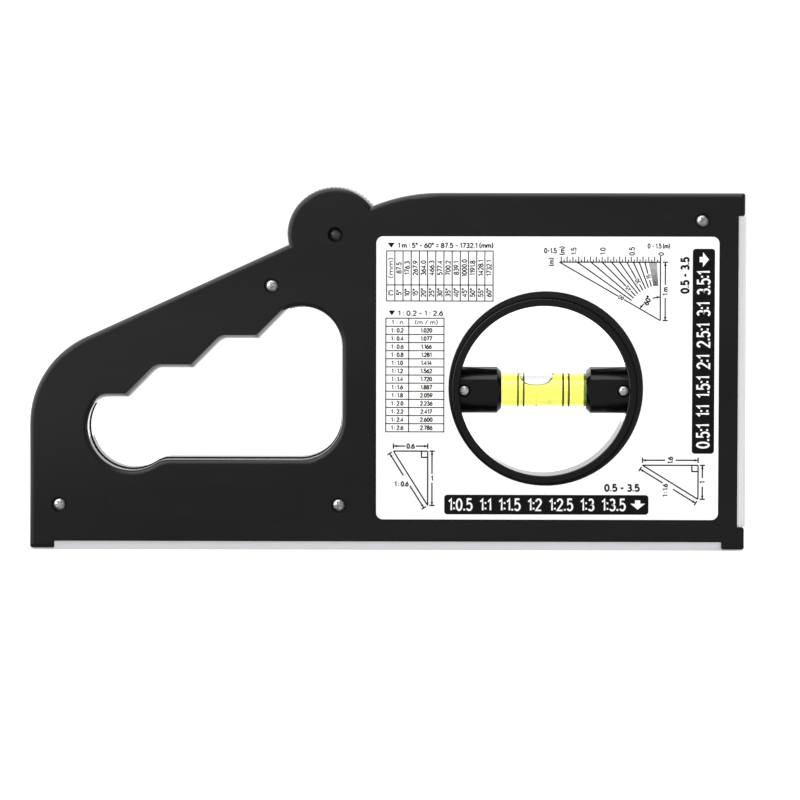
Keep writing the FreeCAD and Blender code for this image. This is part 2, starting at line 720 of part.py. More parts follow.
# ---------------------------------------------------------------- dial
def bezel():
    """Rear end ring of the dial, with a flange that stops it in the case."""
    ring = tube(DIAL_CENTRE, DIAL_OUTER_RADIUS, DIAL_INNER_RADIUS, FACE - BEZEL_DEPTH, FACE)
    flange = tube(DIAL_CENTRE, FLANGE_RADIUS, DIAL_INNER_RADIUS, FACE - FLANGE_DEPTH, FACE)
    ring = joined([ring, flange])
    return ring.makeFillet(0.5, edges_at(ring, FACE, lambda point: True))


def make_rear_bezel():
    ring = bezel()
    for side in (-1, 1):
        centre = (DIAL_CENTRE[0] + side * HOLDER_SCREW_OFFSET, DIAL_CENTRE[1])
        ring = ring.cut(disc(centre, HOLDER_SCREW_RECESS_RADIUS, 0, FACE + 1))
    return ring


def make_front_bezel():
    return mirrored(bezel()).cut(make_index_pointers())


def make_dial_drum():
    low = BEZEL_DEPTH - FACE
    wall = tube(DIAL_CENTRE, DIAL_OUTER_RADIUS, DIAL_INNER_RADIUS, low, -low)
    lugs = []
    for side in (-1, 1):
        inner = DIAL_CENTRE[0] + side * LUG_START
        outer = DIAL_CENTRE[0] + side * (DIAL_INNER_RADIUS + 1.0)
        v_low = DIAL_CENTRE[1] - LUG_HALF_WIDTH
        v_high = DIAL_CENTRE[1] + LUG_HALF_WIDTH
        lugs.append(box(min(inner, outer), max(inner, outer), v_low, v_high, low, LUG_TOP))
    drum = joined([wall] + lugs)
    for side in (-1, 1):
        centre = (DIAL_CENTRE[0] + side * HOLDER_SCREW_OFFSET, DIAL_CENTRE[1])
        screw_end = HOLDER_SCREW_SEAT - HOLDER_SCREW_LENGTH
        drum = drum.cut(disc(centre, HOLDER_SCREW_SHANK_RADIUS, screw_end, 0))
    return drum


def along_vial(radius, start, end):
    """Cylinder along the vial, between two places measured from the dial axis."""
    base = Vector(DIAL_CENTRE[0] + start, DIAL_CENTRE[1], 0)
    return Part.makeCylinder(radius, end - start, base, Vector(1, 0, 0))


def make_vial_holder(side):
    barrel = along_vial(HOLDER_RADIUS, HOLDER_INNER_END, DIAL_INNER_RADIUS)
    inner_u = DIAL_CENTRE[0] + HOLDER_INNER_END
    mouth_edges = [edge for edge in barrel.Edges if abs(edge.BoundBox.XMax - inner_u) < 1e-6]
    barrel = barrel.makeChamfer(HOLDER_CHAMFER, mouth_edges)
    reach = DIAL_CENTRE[0] + DIAL_INNER_RADIUS
    middle = DIAL_CENTRE[1]
    barrel = barrel.common(box(inner_u, reach, middle - 20, middle + 20, -HOLDER_FLAT, HOLDER_FLAT))
    barrel = barrel.common(disc(DIAL_CENTRE, DIAL_INNER_RADIUS, -FACE, FACE))
    barrel = barrel.cut(along_vial(VIAL_RADIUS, 0, VIAL_HALF_LENGTH))
    lug = box(
        DIAL_CENTRE[0] + LUG_START, reach + 1,
        middle - LUG_HALF_WIDTH, middle + LUG_HALF_WIDTH,
        -FACE, LUG_TOP,
    )
    barrel = barrel.cut(lug)
    screw_at = (DIAL_CENTRE[0] + HOLDER_SCREW_OFFSET, middle)
    barrel = barrel.cut(disc(screw_at, HOLDER_SCREW_RECESS_RADIUS, HOLDER_SCREW_SEAT, FACE))
    barrel = barrel.cut(disc(screw_at, HOLDER_SCREW_SHANK_RADIUS + 0.15, -FACE, FACE))
    if side < 0:
        barrel = barrel.mirror(Vector(DIAL_CENTRE[0], 0, 0), Vector(1, 0, 0))
    return barrel


def vial_room(radius):
    return along_vial(radius, PLUG_LENGTH - VIAL_HALF_LENGTH, VIAL_HALF_LENGTH - PLUG_LENGTH)


def make_vial_tube():
    return along_vial(VIAL_RADIUS, -VIAL_HALF_LENGTH, VIAL_HALF_LENGTH).cut(
        along_vial(VIAL_BORE_RADIUS, -VIAL_HALF_LENGTH, VIAL_HALF_LENGTH))


def make_vial_plugs():
    left = along_vial(VIAL_BORE_RADIUS, -VIAL_HALF_LENGTH, PLUG_LENGTH - VIAL_HALF_LENGTH)
    right = along_vial(VIAL_BORE_RADIUS, VIAL_HALF_LENGTH - PLUG_LENGTH, VIAL_HALF_LENGTH)
    return Part.makeCompound([left, right])


def bubble_form(grow):
    """Flattened air bubble under the top of the vial's bore, at the dial axis."""
    ball = Part.makeSphere(1.0)
    stretch = FreeCAD.Matrix()
    stretch.scale(BUBBLE_LENGTH / 2 + grow, BUBBLE_DEPTH + grow, BUBBLE_HALF_WIDTH + grow)
    ball = ball.transformGeometry(stretch)
    ball.translate(Vector(DIAL_CENTRE[0], DIAL_CENTRE[1] + VIAL_BORE_RADIUS, 0))
    return ball


def make_vial_bubble():
    bubble = bubble_form(0)
    bubble.translate(Vector(BUBBLE_REST, 0, 0))
    return bubble.common(along_vial(VIAL_BORE_RADIUS - BUBBLE_CLEARANCE, -20, 20))


def make_vial_liquid():
    """Liquid, with a channel along its top that leaves the bubble free to travel."""
    reach = BUBBLE_TRAVEL + BUBBLE_LENGTH / 2 + BUBBLE_CLEARANCE
    low_v = DIAL_CENTRE[1] + VIAL_BORE_RADIUS - BUBBLE_DEPTH - BUBBLE_CLEARANCE
    half = BUBBLE_HALF_WIDTH + BUBBLE_CLEARANCE
    channel = box(
        DIAL_CENTRE[0] - reach, DIAL_CENTRE[0] + reach,
        low_v, DIAL_CENTRE[1] + VIAL_BORE_RADIUS + 1,
        -half, half,
    )
    return vial_room(VIAL_BORE_RADIUS).cut(channel)


def make_vial_lines():
    rings = []
    half = VIAL_LINE_WIDTH / 2
    for side in (-1, 1):
        for place in VIAL_LINES:
            middle = side * place
            outer = along_vial(VIAL_RADIUS + VIAL_LINE_HEIGHT, middle - half, middle + half)
            rings.append(outer.cut(along_vial(VIAL_RADIUS, middle - half, middle + half)))
    return Part.makeCompound(rings)


def make_index_pointers():
    """Four thin pointers at the front of the dial, over the inner edge of the scale."""
    pointers = []
    for quarter in range(4):
        corners = [
            (DIAL_OUTER_RADIUS - 1.6, -POINTER_HALF_WIDTH, 0),
            (POINTER_TIP_RADIUS, 0, 0.3),
            (DIAL_OUTER_RADIUS - 1.6, POINTER_HALF_WIDTH, 0),
        ]
        pointer = plate(corners, -FACE, POINTER_THICKNESS - FACE)
        pointer.rotate(Vector(0, 0, 0), Vector(0, 0, 1), 90 * quarter)
        pointer.translate(Vector(DIAL_CENTRE[0], DIAL_CENTRE[1], 0))
        pointers.append(pointer)
    return Part.makeCompound(pointers)


# ---------------------------------------------------------------- screws and small parts
def cross_screw(centre, seat, head_radius, head_height, shank_radius, shank_length):
    """Cross-recess screw whose domed head rests at w = seat and whose shank points to -w."""
    crown = head_height * 0.35
    centre_low = Vector(0, 0, seat)
    centre_high = Vector(0, 0, seat + head_height)
    rim_low = Vector(head_radius, 0, seat)
    rim_high = Vector(head_radius, 0, seat + head_height - crown)
    dome = Vector(head_radius * 0.55, 0, seat + head_height - crown * 0.25)
    profile = Part.Wire([
        Part.LineSegment(centre_low, rim_low).toShape(),
        Part.LineSegment(rim_low, rim_high).toShape(),
        Part.Arc(rim_high, dome, centre_high).toShape(),
        Part.LineSegment(centre_high, centre_low).toShape(),
    ])
    head = Part.Face(profile).revolve(Vector(0, 0, 0), Vector(0, 0, 1), 360)
    shank = disc((0, 0), shank_radius, seat - shank_length, seat)
    screw = joined([head, shank])
    half = CROSS_WIDTH / 2
    reach = head_radius * 0.62
    low = seat + head_height - CROSS_DEPTH
    high = seat + head_height + 1
    screw = screw.cut(box(-reach, reach, -half, half, low, high))
    screw = screw.cut(box(-half, half, -reach, reach, low, high))
    screw.rotate(Vector(0, 0, 0), Vector(0, 0, 1), 20)
    screw.translate(Vector(centre[0], centre[1], 0))
    return screw


def make_case_screws():
    seat = FACE - RECESS_DEPTH
    head = (SCREW_HEAD_RADIUS, SCREW_HEAD_HEIGHT)
    shank = (SCREW_SHANK_RADIUS, SCREW_SHANK_LENGTH)
    return Part.makeCompound([cross_screw(centre, seat, *head, *shank) for centre in CASE_SCREWS])


def make_axle_screw():
    seat = FACE - AXLE_SCREW_RECESS
    head = (AXLE_SCREW_HEAD_RADIUS, SCREW_HEAD_HEIGHT)
    return cross_screw(WHEEL_CENTRE, seat, *head, SCREW_SHANK_RADIUS, AXLE_SCREW_LENGTH)


def make_holder_screws():
    screws = []
    for side in (-1, 1):
        centre = (DIAL_CENTRE[0] + side * HOLDER_SCREW_OFFSET, DIAL_CENTRE[1])
        screws.append(cross_screw(
            centre, HOLDER_SCREW_SEAT, HOLDER_SCREW_HEAD_RADIUS, SCREW_HEAD_HEIGHT,
            HOLDER_SCREW_SHANK_RADIUS, HOLDER_SCREW_LENGTH))
    return Part.makeCompound(screws)


def make_idler_pin():
    return disc(idler_centre(), IDLER_PIN_RADIUS, -INSIDE - AXLE_SOCKET, IDLER_PIN_REAR)


def make_friction_washer():
    return tube(DIAL_CENTRE, WASHER_OUTER, WASHER_INNER, -INSIDE, GEAR_FRONT - RUNNING_CLEARANCE)


def make_rear_label():
    low = FACE - LABEL_RECESS
    sheet = plate(label_corners(0), low, low + LABEL_THICKNESS)
    return sheet.cut(disc(*LABEL_HOLE, low, FACE))


def make_scale_plate():
    low = FACE - PLATE_RECESS
    sheet = plate(label_corners(0), low, low + LABEL_THICKNESS)
    return mirrored(sheet.cut(disc(*PLATE_HOLE, low, FACE)))


# ---------------------------------------------------------------- export
def stand_up(shape):
    """From the plan frame (u, v, w) to the part's own frame (X, Z, -Y)."""
    standing = shape.copy()
    standing.rotate(Vector(0, 0, 0), Vector(1, 0, 0), 90)
    return standing


def save(name, shape):
    standing = stand_up(shape)
    standing.exportStep(os.path.join("parts", name + ".step"))
    bounds = standing.BoundBox
    print(
        f"{name:20s} solids {len(standing.Solids)} valid {standing.isValid()}"
        f" volume {standing.Volume:9.1f}"
        f"  X {bounds.XMin:.1f}..{bounds.XMax:.1f}"
        f"  Y {bounds.YMin:.1f}..{bounds.YMax:.1f}"
        f"  Z {bounds.ZMin:.1f}..{bounds.ZMax:.1f}"
    )


def main():
    os.makedirs("parts", exist_ok=True)
    dial_phase, idler_phase, pinion_phase = gear_phases()
    save("rear_cover", make_rear_cover())
    save("front_case", make_front_case())
    save("base_rail", make_base_rail())
    save("side_rail", make_side_rail())
    save("rear_label", make_rear_label())
    save("scale_plate", make_scale_plate())
    save("case_screws", make_case_screws())
    save("axle_screw", make_axle_screw())
    save("wheel_axle", make_wheel_axle())
    save("thumbwheel", make_thumbwheel())
    save("drive_pinion", make_drive_pinion(pinion_phase))
    save("idler_pin", make_idler_pin())
    idler_bore = IDLER_PIN_RADIUS + RUNNING_CLEARANCE
    save("idler_gear", gear(IDLER_TEETH, idler_phase, idler_centre(), idler_bore))
    save("dial_gear", gear(DIAL_TEETH, dial_phase, DIAL_CENTRE, DIAL_OUTER_RADIUS))
    save("friction_washer", make_friction_washer())
    save("dial_drum", make_dial_drum())
    save("rear_bezel", make_rear_bezel())
    save("front_bezel", make_front_bezel())
    save("index_pointers", make_index_pointers())
    save("vial_holder_left", make_vial_holder(-1))
    save("vial_holder_right", make_vial_holder(1))
    save("holder_screws", make_holder_screws())
    save("vial_tube", make_vial_tube())
    save("vial_plugs", make_vial_plugs())
    save("vial_liquid", make_vial_liquid())
    save("vial_bubble", make_vial_bubble())
    save("vial_lines", make_vial_lines())


if __name__ == "__main__":
    main()
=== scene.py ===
"""Finishes, prints, vial and studio of a hand-held slope gauge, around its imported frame."""

import math

import bmesh
import bpy
from bpy.props import FloatProperty, FloatVectorProperty, IntProperty, PointerProperty
from bpy.types import Operator, Panel, PropertyGroup
from mathutils import Matrix, Vector


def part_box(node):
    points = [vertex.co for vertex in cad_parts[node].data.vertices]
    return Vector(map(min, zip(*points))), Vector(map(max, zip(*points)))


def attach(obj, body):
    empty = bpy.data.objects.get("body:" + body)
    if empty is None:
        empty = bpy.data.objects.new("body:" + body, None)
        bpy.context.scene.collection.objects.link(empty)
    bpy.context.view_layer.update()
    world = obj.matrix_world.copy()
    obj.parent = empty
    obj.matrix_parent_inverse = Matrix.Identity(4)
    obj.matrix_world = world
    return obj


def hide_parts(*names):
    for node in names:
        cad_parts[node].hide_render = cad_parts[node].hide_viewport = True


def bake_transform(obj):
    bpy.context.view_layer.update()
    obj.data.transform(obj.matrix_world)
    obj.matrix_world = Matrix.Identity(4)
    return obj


bl_info = {
    "name": "Slope gauge",
    "version": (1, 0, 0),
    "blender": (4, 5, 0),
    "location": "3D View > Sidebar > Slope gauge",
    "description": "Finishes, prints, vial and studio of a hand-held slope gauge",
    "category": "Object",
}

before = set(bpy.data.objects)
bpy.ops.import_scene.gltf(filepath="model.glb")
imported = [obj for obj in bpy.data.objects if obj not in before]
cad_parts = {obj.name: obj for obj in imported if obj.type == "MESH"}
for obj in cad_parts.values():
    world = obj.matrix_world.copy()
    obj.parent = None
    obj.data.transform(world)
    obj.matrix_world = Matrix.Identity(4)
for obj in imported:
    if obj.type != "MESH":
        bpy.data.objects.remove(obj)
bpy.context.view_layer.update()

MM = 0.001
INK_HEIGHT = 0.03              # millimetres that a print stands above its sheet
LABEL_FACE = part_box("rear_label")[0].y
PLATE_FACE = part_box("scale_plate")[1].y
DIAL_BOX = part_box("dial_drum")
DIAL_X = (DIAL_BOX[0].x + DIAL_BOX[1].x) / 2
DIAL_Z = (DIAL_BOX[0].z + DIAL_BOX[1].z) / 2


# ---------------------------------------------------------------- settings
def colour(name, description, default):
    return FloatVectorProperty(
        name=name, description=description, default=default,
        subtype="COLOR", size=3, min=0.0, max=1.0,
    )


def share(name, description, default):
    return FloatProperty(
        name=name, description=description, default=default,
        subtype="FACTOR", min=0.0, max=1.0,
    )


def length(name, description, default):
    return FloatProperty(
        name=name, description=description, default=default, unit="LENGTH", min=0.0,
    )


class CaseSettings(PropertyGroup):
    plastic: colour("Plastic", "Colour of the moulded case", (0.0030, 0.0031, 0.0035))
    roughness: share("Face roughness", "Roughness of the grained faces", 0.36)
    polish: share("Wall roughness", "Roughness of the polished walls", 0.11)
    grain: length("Grain", "Width of the moulded grain", 0.00035)
    wheel: colour("Wheel", "Colour of the thumbwheel", (0.72, 0.725, 0.72))


class MetalSettings(PropertyGroup):
    rail: colour("Rail", "Colour of the measuring rails", (0.84, 0.855, 0.875))
    screw: colour("Screw", "Colour of the plated screws", (0.82, 0.82, 0.8))
    brushing: length("Brushing", "Width of the brushed lines on the rails", 0.0004)


class PrintSettings(PropertyGroup):
    paper: colour("Sheet", "Colour of the printed sheets", (0.89, 0.885, 0.875))
    ink: colour("Ink", "Colour of the printing ink", (0.0040, 0.0036, 0.0038))
    rule: length("Rule", "Width of the ruled lines", 0.00042)
    degrees: IntProperty(
        name="Degree marks", description="Marks round the dial scale", default=360, min=4,
    )


class VialSettings(PropertyGroup):
    liquid: colour("Liquid", "Colour that the liquid lets through", (0.987, 0.977, 0.024))
    density: FloatProperty(
        name="Density", description="How strongly the liquid absorbs", default=168.0, min=0.0,
    )
    # The bubble rim's green is painted shade along the bubble's edge, standing for the refraction
    # there.
    rim: colour("Bubble rim", "Colour of the bubble's outline", (0.22, 0.7, 0.08))
    bubble_length: length("Bubble length", "Length of the air bubble", 0.0133)
    bubble_depth: length("Bubble depth", "Depth of the air bubble", 0.0044)


class StudioSettings(PropertyGroup):
    floor: colour("Floor", "Colour of the floor", (0.84, 0.84, 0.84))
    sky: FloatProperty(name="Sky", description="Strength of the soft light", default=1.15)
    bright_side: FloatVectorProperty(
        name="Bright side", description="Where the brightest part of the studio lies",
        default=(-0.8, -0.1, 0.6), subtype="DIRECTION",
    )
    lens: FloatProperty(name="Lens", description="Focal length", default=163.915, unit="CAMERA")


# ---------------------------------------------------------------- materials
NOISE_LOW, NOISE_HIGH = 0.3, 0.7       # most of the noise lies between these
WALL_UNTIL, FACE_FROM = 0.5, 0.9       # how closely the normal follows Y on a wall and on a face
FLOW_WIDTH, SCUFF_WIDTH = 0.045, 0.0011


def new_material(name):
    material = bpy.data.materials.new(name)
    material.use_nodes = True
    tree = material.node_tree
    tree.nodes.clear()
    surface = tree.nodes.new("ShaderNodeBsdfPrincipled")
    output = tree.nodes.new("ShaderNodeOutputMaterial")
    tree.links.new(surface.outputs[0], output.inputs["Surface"])
    return material, tree, surface


def add(tree, kind, sockets=None, **options):
    """Adds a node, sets its options and feeds its sockets with values or links."""
    node = tree.nodes.new(kind)
    for key, value in options.items():
        setattr(node, key, value)
    for key, value in (sockets or {}).items():
        socket = node.inputs[key]
        if isinstance(value, bpy.types.NodeSocket):
            tree.links.new(value, socket)
        else:
            socket.default_value = value
    return node


def noise(tree, width, stretch=(1.0, 1.0, 1.0), detail=2.0):
    """Noise whose blotches are about width metres wide, drawn out by stretch."""
    place = add(tree, "ShaderNodeTexCoord").outputs["Object"]
    scale = tuple(1.0 / value for value in stretch)
    place = add(tree, "ShaderNodeMapping", {"Vector": place, "Scale": scale}).outputs[0]
    sockets = {"Vector": place, "Scale": 1.0 / width, "Detail": detail}
    return add(tree, "ShaderNodeTexNoise", sockets).outputs[0]


def stretched(tree, value, from_low, from_high, low, high):
    """Maps a value from one range to another and holds it at the ends."""
    sockets = {"Value": value, "From Min": from_low, "From Max": from_high,
               "To Min": low, "To Max": high}
    return add(tree, "ShaderNodeMapRange", sockets).outputs[0]


def ranged(tree, factor, low, high):
    return stretched(tree, factor, NOISE_LOW, NOISE_HIGH, low, high)


def two_tone(tree, factor, low, high):
    """Blends one colour into another where the noise passes its middle."""
    ramp = add(tree, "ShaderNodeValToRGB", {"Fac": factor})
    first, second = ramp.color_ramp.elements
    first.position, second.position = 0.35, 0.65
    first.color, second.color = (*low, 1.0), (*high, 1.0)
    return ramp.outputs[0]


def relief(tree, height, distance, below=None):
    sockets = {"Height": height, "Strength": 1.0, "Distance": distance}
    if below is not None:
        sockets["Normal"] = below
    return add(tree, "ShaderNodeBump", sockets).outputs[0]


def shade(base, factor):
    return tuple(value * factor for value in base)


def finish(name, base, roughness, patch=0.02, grain=0.0004, depth=0.000004,
           contrast=0.12, spread=0.05, stretch=(1.0, 1.0, 1.0), fixed=None):
    """Procedural finish: mottled colour, uneven gloss and a fine grain."""
    material, tree, surface = new_material(name)
    patches = noise(tree, patch, stretch)
    grains = noise(tree, grain, stretch, 1.0)
    low, high = shade(base, 1.0 - contrast), shade(base, 1.0 + contrast)
    high = tuple(min(1.0, value) for value in high)
    tree.links.new(two_tone(tree, patches, low, high), surface.inputs["Base Color"])
    gloss = ranged(tree, patches, roughness - spread, roughness + spread)
    tree.links.new(gloss, surface.inputs["Roughness"])
    tree.links.new(relief(tree, grains, depth), surface.inputs["Normal"])
    for key, value in (fixed or {}).items():
        surface.inputs[key].default_value = value
    return material


def wall_or_face(tree, wall, face):
    """One value on the walls, which run along Y, and another on the faces, which look along it."""
    normal = add(tree, "ShaderNodeTexCoord").outputs["Normal"]
    along = add(tree, "ShaderNodeSeparateXYZ", {"Vector": normal}).outputs["Y"]
    facing = add(tree, "ShaderNodeMath", {0: along}, operation="ABSOLUTE").outputs[0]
    return stretched(tree, facing, WALL_UNTIL, FACE_FROM, wall, face)


def moulded(name, base, polish, roughness, grain):
    """Black moulded plastic: polished walls, grained faces, soft flow marks, faint scuffs."""
    material, tree, surface = new_material(name)
    flow = noise(tree, FLOW_WIDTH, (3.0, 1.0, 1.0), 3.0)
    grains = noise(tree, grain)
    scuffs = noise(tree, SCUFF_WIDTH, (14.0, 1.0, 1.6), 3.0)
    tone = two_tone(tree, flow, shade(base, 0.8), shade(base, 1.25))
    tree.links.new(tone, surface.inputs["Base Color"])
    marks = stretched(tree, scuffs, 0.62, 0.8, 0.0, 0.14)
    gloss = wall_or_face(tree, polish, roughness)
    for change in (marks, ranged(tree, flow, -0.03, 0.03)):
        gloss = add(tree, "ShaderNodeMath", {0: gloss, 1: change}, operation="ADD").outputs[0]
    tree.links.new(gloss, surface.inputs["Roughness"])
    fine = relief(tree, grains, distance=0.000005)
    broad = relief(tree, flow, distance=0.00005, below=fine)
    tree.links.new(broad, surface.inputs["Normal"])
    surface.inputs["IOR"].default_value = 1.45
    return material


def clear_material(name, base, ior, roughness):
    """See-through finish with a faint haze."""
    material, tree, surface = new_material(name)
    haze = noise(tree, 0.006)
    tint = two_tone(tree, haze, shade(base, 0.985), base)
    tree.links.new(tint, surface.inputs["Base Color"])
    gloss = ranged(tree, haze, roughness * 0.7, roughness * 1.3)
    tree.links.new(gloss, surface.inputs["Roughness"])
    surface.inputs["IOR"].default_value = ior
    surface.inputs["Transmission Weight"].default_value = 1.0
    return material


def coloured_liquid(settings):
    material = clear_material("vial_liquid_clear", (1.0, 1.0, 1.0), 1.33, 0.01)
    tree = material.node_tree
    depth = tree.nodes.new("ShaderNodeVolumeAbsorption")
    depth.inputs["Color"].default_value = (*settings.liquid, 1.0)
    depth.inputs["Density"].default_value = settings.density
    output = next(node for node in tree.nodes if node.type == "OUTPUT_MATERIAL")
    tree.links.new(depth.outputs[0], output.inputs["Volume"])
    return material


def unseen(name):
    """Stands for a boundary that bends no light."""
    material, tree, surface = new_material(name)
    tint = two_tone(tree, noise(tree, 0.01), (0.96, 0.97, 0.96), (1.0, 1.0, 1.0))
    tree.links.new(tint, surface.inputs["Base Color"])
    surface.inputs["Alpha"].default_value = 0.0
    return material


# ---------------------------------------------------------------- pieces
def paint(material, *names):
    """Gives the frame's own nodes a finish."""
    for name in names:
        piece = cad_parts[name]
        if piece.material_slots:
            for place in piece.material_slots:
                place.material = material
        else:
            piece.data.materials.append(material)


def new_object(name, mesh):
    piece = bpy.data.objects.new(name, mesh)
    bpy.context.scene.collection.objects.link(piece)
    return piece


def add_piece(name, mesh, materials, body, replaced=()):
    """Puts a finished mesh on its body, if it has one, and gives it its finishes."""
    piece = new_object(name, mesh)
    mesh.materials.clear()
    for material in materials:
        mesh.materials.append(material)
    if body:
        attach(piece, body)
    if replaced:
        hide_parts(*replaced)
    return piece


def plain_mesh(source):
    """The evaluated form of an object as a plain mesh. The source object is removed."""
    bpy.context.view_layer.update()
    graph = bpy.context.evaluated_depsgraph_get()
    mesh = bpy.data.meshes.new_from_object(source.evaluated_get(graph))
    bpy.data.objects.remove(source)
    return mesh


# ---------------------------------------------------------------- rows of bars
BAR_INPUTS = (
    ("Count", "NodeSocketInt", 2),
    ("Start", "NodeSocketVector", (0.0, 0.0, 0.0)),
    ("Step", "NodeSocketVector", (0.0, 0.0, 0.0)),
    ("Pivot", "NodeSocketVector", (0.0, 0.0, 0.0)),
    ("Turn", "NodeSocketFloat", 0.0),
    ("Bar Size", "NodeSocketVector", (0.001, 0.001, 0.001)),
    ("Anchor", "NodeSocketFloat", 0.0),
    ("Middle Every", "NodeSocketInt", 1),
    ("Middle Length", "NodeSocketFloat", 1.0),
    ("Long Every", "NodeSocketInt", 1),
    ("Short Length", "NodeSocketFloat", 1.0),
)


def bar_row_tree(material):
    """Bars in a straight row or round a pivot, with longer ones at set intervals."""
    tree = bpy.data.node_groups.new("bar_row", "GeometryNodeTree")
    for name, kind, default in BAR_INPUTS:
        socket = tree.interface.new_socket(name=name, in_out="INPUT", socket_type=kind)
        socket.default_value = default
    tree.interface.new_socket(name="Geometry", in_out="OUTPUT", socket_type="NodeSocketGeometry")
    given = add(tree, "NodeGroupInput").outputs
    index = add(tree, "GeometryNodeInputIndex").outputs[0]

    def vector(operation, sockets):
        return add(tree, "ShaderNodeVectorMath", sockets, operation=operation).outputs[0]

    def number(operation, first, second):
        sockets = {0: first, 1: second}
        return add(tree, "ShaderNodeMath", sockets, operation=operation).outputs[0]

    moved = vector("SCALE", {0: given["Step"], "Scale": index})
    place = vector("ADD", {0: given["Start"], 1: moved})
    angle = number("MULTIPLY", index, given["Turn"])
    place = add(tree, "ShaderNodeVectorRotate", {
        "Vector": place, "Center": given["Pivot"], "Axis": (0.0, 1.0, 0.0), "Angle": angle,
    }, rotation_type="AXIS_ANGLE").outputs[0]

    def every(interval, there, elsewhere):
        rest = number("MODULO", index, given[interval])
        between = number("GREATER_THAN", rest, 0.5)
        gap = number("SUBTRACT", elsewhere, there)
        return number("ADD", number("MULTIPLY", between, gap), there)

    reach = every("Middle Every", given["Middle Length"], given["Short Length"])
    reach = every("Long Every", 1.0, reach)
    points = add(tree, "GeometryNodePoints", {"Count": given["Count"], "Position": place})
    cube = add(tree, "GeometryNodeMeshCube", {"Size": given["Bar Size"]})
    lift = vector("MULTIPLY", {0: given["Bar Size"], 1: (0.0, 0.0, 1.0)})
    lift = vector("SCALE", {0: lift, "Scale": given["Anchor"]})
    cube = add(tree, "GeometryNodeTransform", {
        "Geometry": cube.outputs[0], "Translation": lift,
    })
    turn = add(tree, "ShaderNodeCombineXYZ", {"Y": angle}).outputs[0]
    size = add(tree, "ShaderNodeCombineXYZ", {"X": 1.0, "Y": 1.0, "Z": reach}).outputs[0]
    row = add(tree, "GeometryNodeInstanceOnPoints", {
        "Points": points.outputs[0], "Instance": cube.outputs[0],
        "Rotation": turn, "Scale": size,
    })
    row = add(tree, "GeometryNodeRealizeInstances", {"Geometry": row.outputs[0]})
    row = add(tree, "GeometryNodeSetMaterial", {"Geometry": row.outputs[0], "Material": material})
    add(tree, "NodeGroupOutput", {"Geometry": row.outputs[0]})
    return tree


def grown(tree, values):
    """Runs a node tree with the named values and returns the plain mesh that it makes."""
    source = new_object("row_source", bpy.data.meshes.new("row_source"))
    modifier = source.modifiers.new("row", "NODES")
    modifier.node_group = tree
    for item in tree.interface.items_tree:
        if item.in_out == "INPUT" and item.name in values:
            modifier[item.identifier] = values[item.name]
    return plain_mesh(source)


# ---------------------------------------------------------------- signs
SIGN_GAP = 0.22                # between signs, as a share of their height
BOW_STEP = 24                  # degrees between the points of a bow
DOT_LOW, DOT_HIGH = 0.03, 0.13         # how far a dot reaches below and above its place


def bow(u, v, wide, high, first=0, last=360):
    """Points on an oval, from one angle to another."""
    steps = max(3, round(abs(last - first) / BOW_STEP))
    points = []
    for step in range(steps + 1):
        angle = math.radians(first + (last - first) * step / steps)
        points.append((u + wide * math.cos(angle), v + high * math.sin(angle)))
    return points


def foot(u, v=0.0):
    """A dot, as a very short stroke."""
    return [(u, v - DOT_LOW), (u, v + DOT_HIGH)]


# Each sign has its width and its strokes, in a field as high as 1.
SIGNS = {
    "0": (0.56, [bow(0.28, 0.5, 0.27, 0.5)]),
    "1": (0.3, [[(0.02, 0.76), (0.26, 1.0), (0.26, 0.0)]]),
    "2": (0.54, [bow(0.27, 0.73, 0.26, 0.27, 170, -38) + [(0.0, 0.0), (0.54, 0.0)]]),
    "3": (0.54, [bow(0.25, 0.75, 0.23, 0.25, 150, -90) + bow(0.25, 0.26, 0.28, 0.26, 78, -150)]),
    "4": (0.58, [[(0.43, 0.0), (0.43, 1.0), (0.0, 0.27), (0.58, 0.27)]]),
    "5": (0.54, [[(0.5, 1.0), (0.09, 1.0), (0.05, 0.54)]
                 + bow(0.26, 0.32, 0.28, 0.32, 118, -150)]),
    "6": (0.55, [bow(0.28, 0.31, 0.27, 0.31), [(0.45, 1.0), (0.13, 0.68), (0.01, 0.34)]]),
    "7": (0.52, [[(0.0, 1.0), (0.52, 1.0), (0.18, 0.0)]]),
    "8": (0.55, [bow(0.275, 0.76, 0.22, 0.24), bow(0.275, 0.26, 0.275, 0.26)]),
    "9": (0.55, [bow(0.27, 0.69, 0.27, 0.31), [(0.54, 0.66), (0.42, 0.32), (0.1, 0.0)]]),
    ".": (0.08, [foot(0.04)]),
    ":": (0.08, [foot(0.04, 0.1), foot(0.04, 0.6)]),
    "°": (0.24, [bow(0.12, 0.88, 0.12, 0.12)]),
    "-": (0.4, [[(0.0, 0.45), (0.4, 0.45)]]),
    "=": (0.46, [[(0.0, 0.25), (0.46, 0.25)], [(0.0, 0.7), (0.46, 0.7)]]),
    "/": (0.36, [[(0.0, -0.06), (0.36, 1.06)]]),
    "(": (0.2, [bow(0.42, 0.5, 0.42, 0.72, 124, 236)]),
    ")": (0.2, [bow(-0.22, 0.5, 0.42, 0.72, 56, -56)]),
    "m": (0.8, [[(0.0, 0.0), (0.0, 0.68)], bow(0.2, 0.44, 0.2, 0.23, 170, 0) + [(0.4, 0.0)],
                bow(0.6, 0.44, 0.2, 0.23, 170, 0) + [(0.8, 0.0)]]),
    "n": (0.44, [[(0.0, 0.0), (0.0, 0.68)], bow(0.22, 0.42, 0.22, 0.25, 170, 0) + [(0.44, 0.0)]]),
    " ": (0.12, []),
}


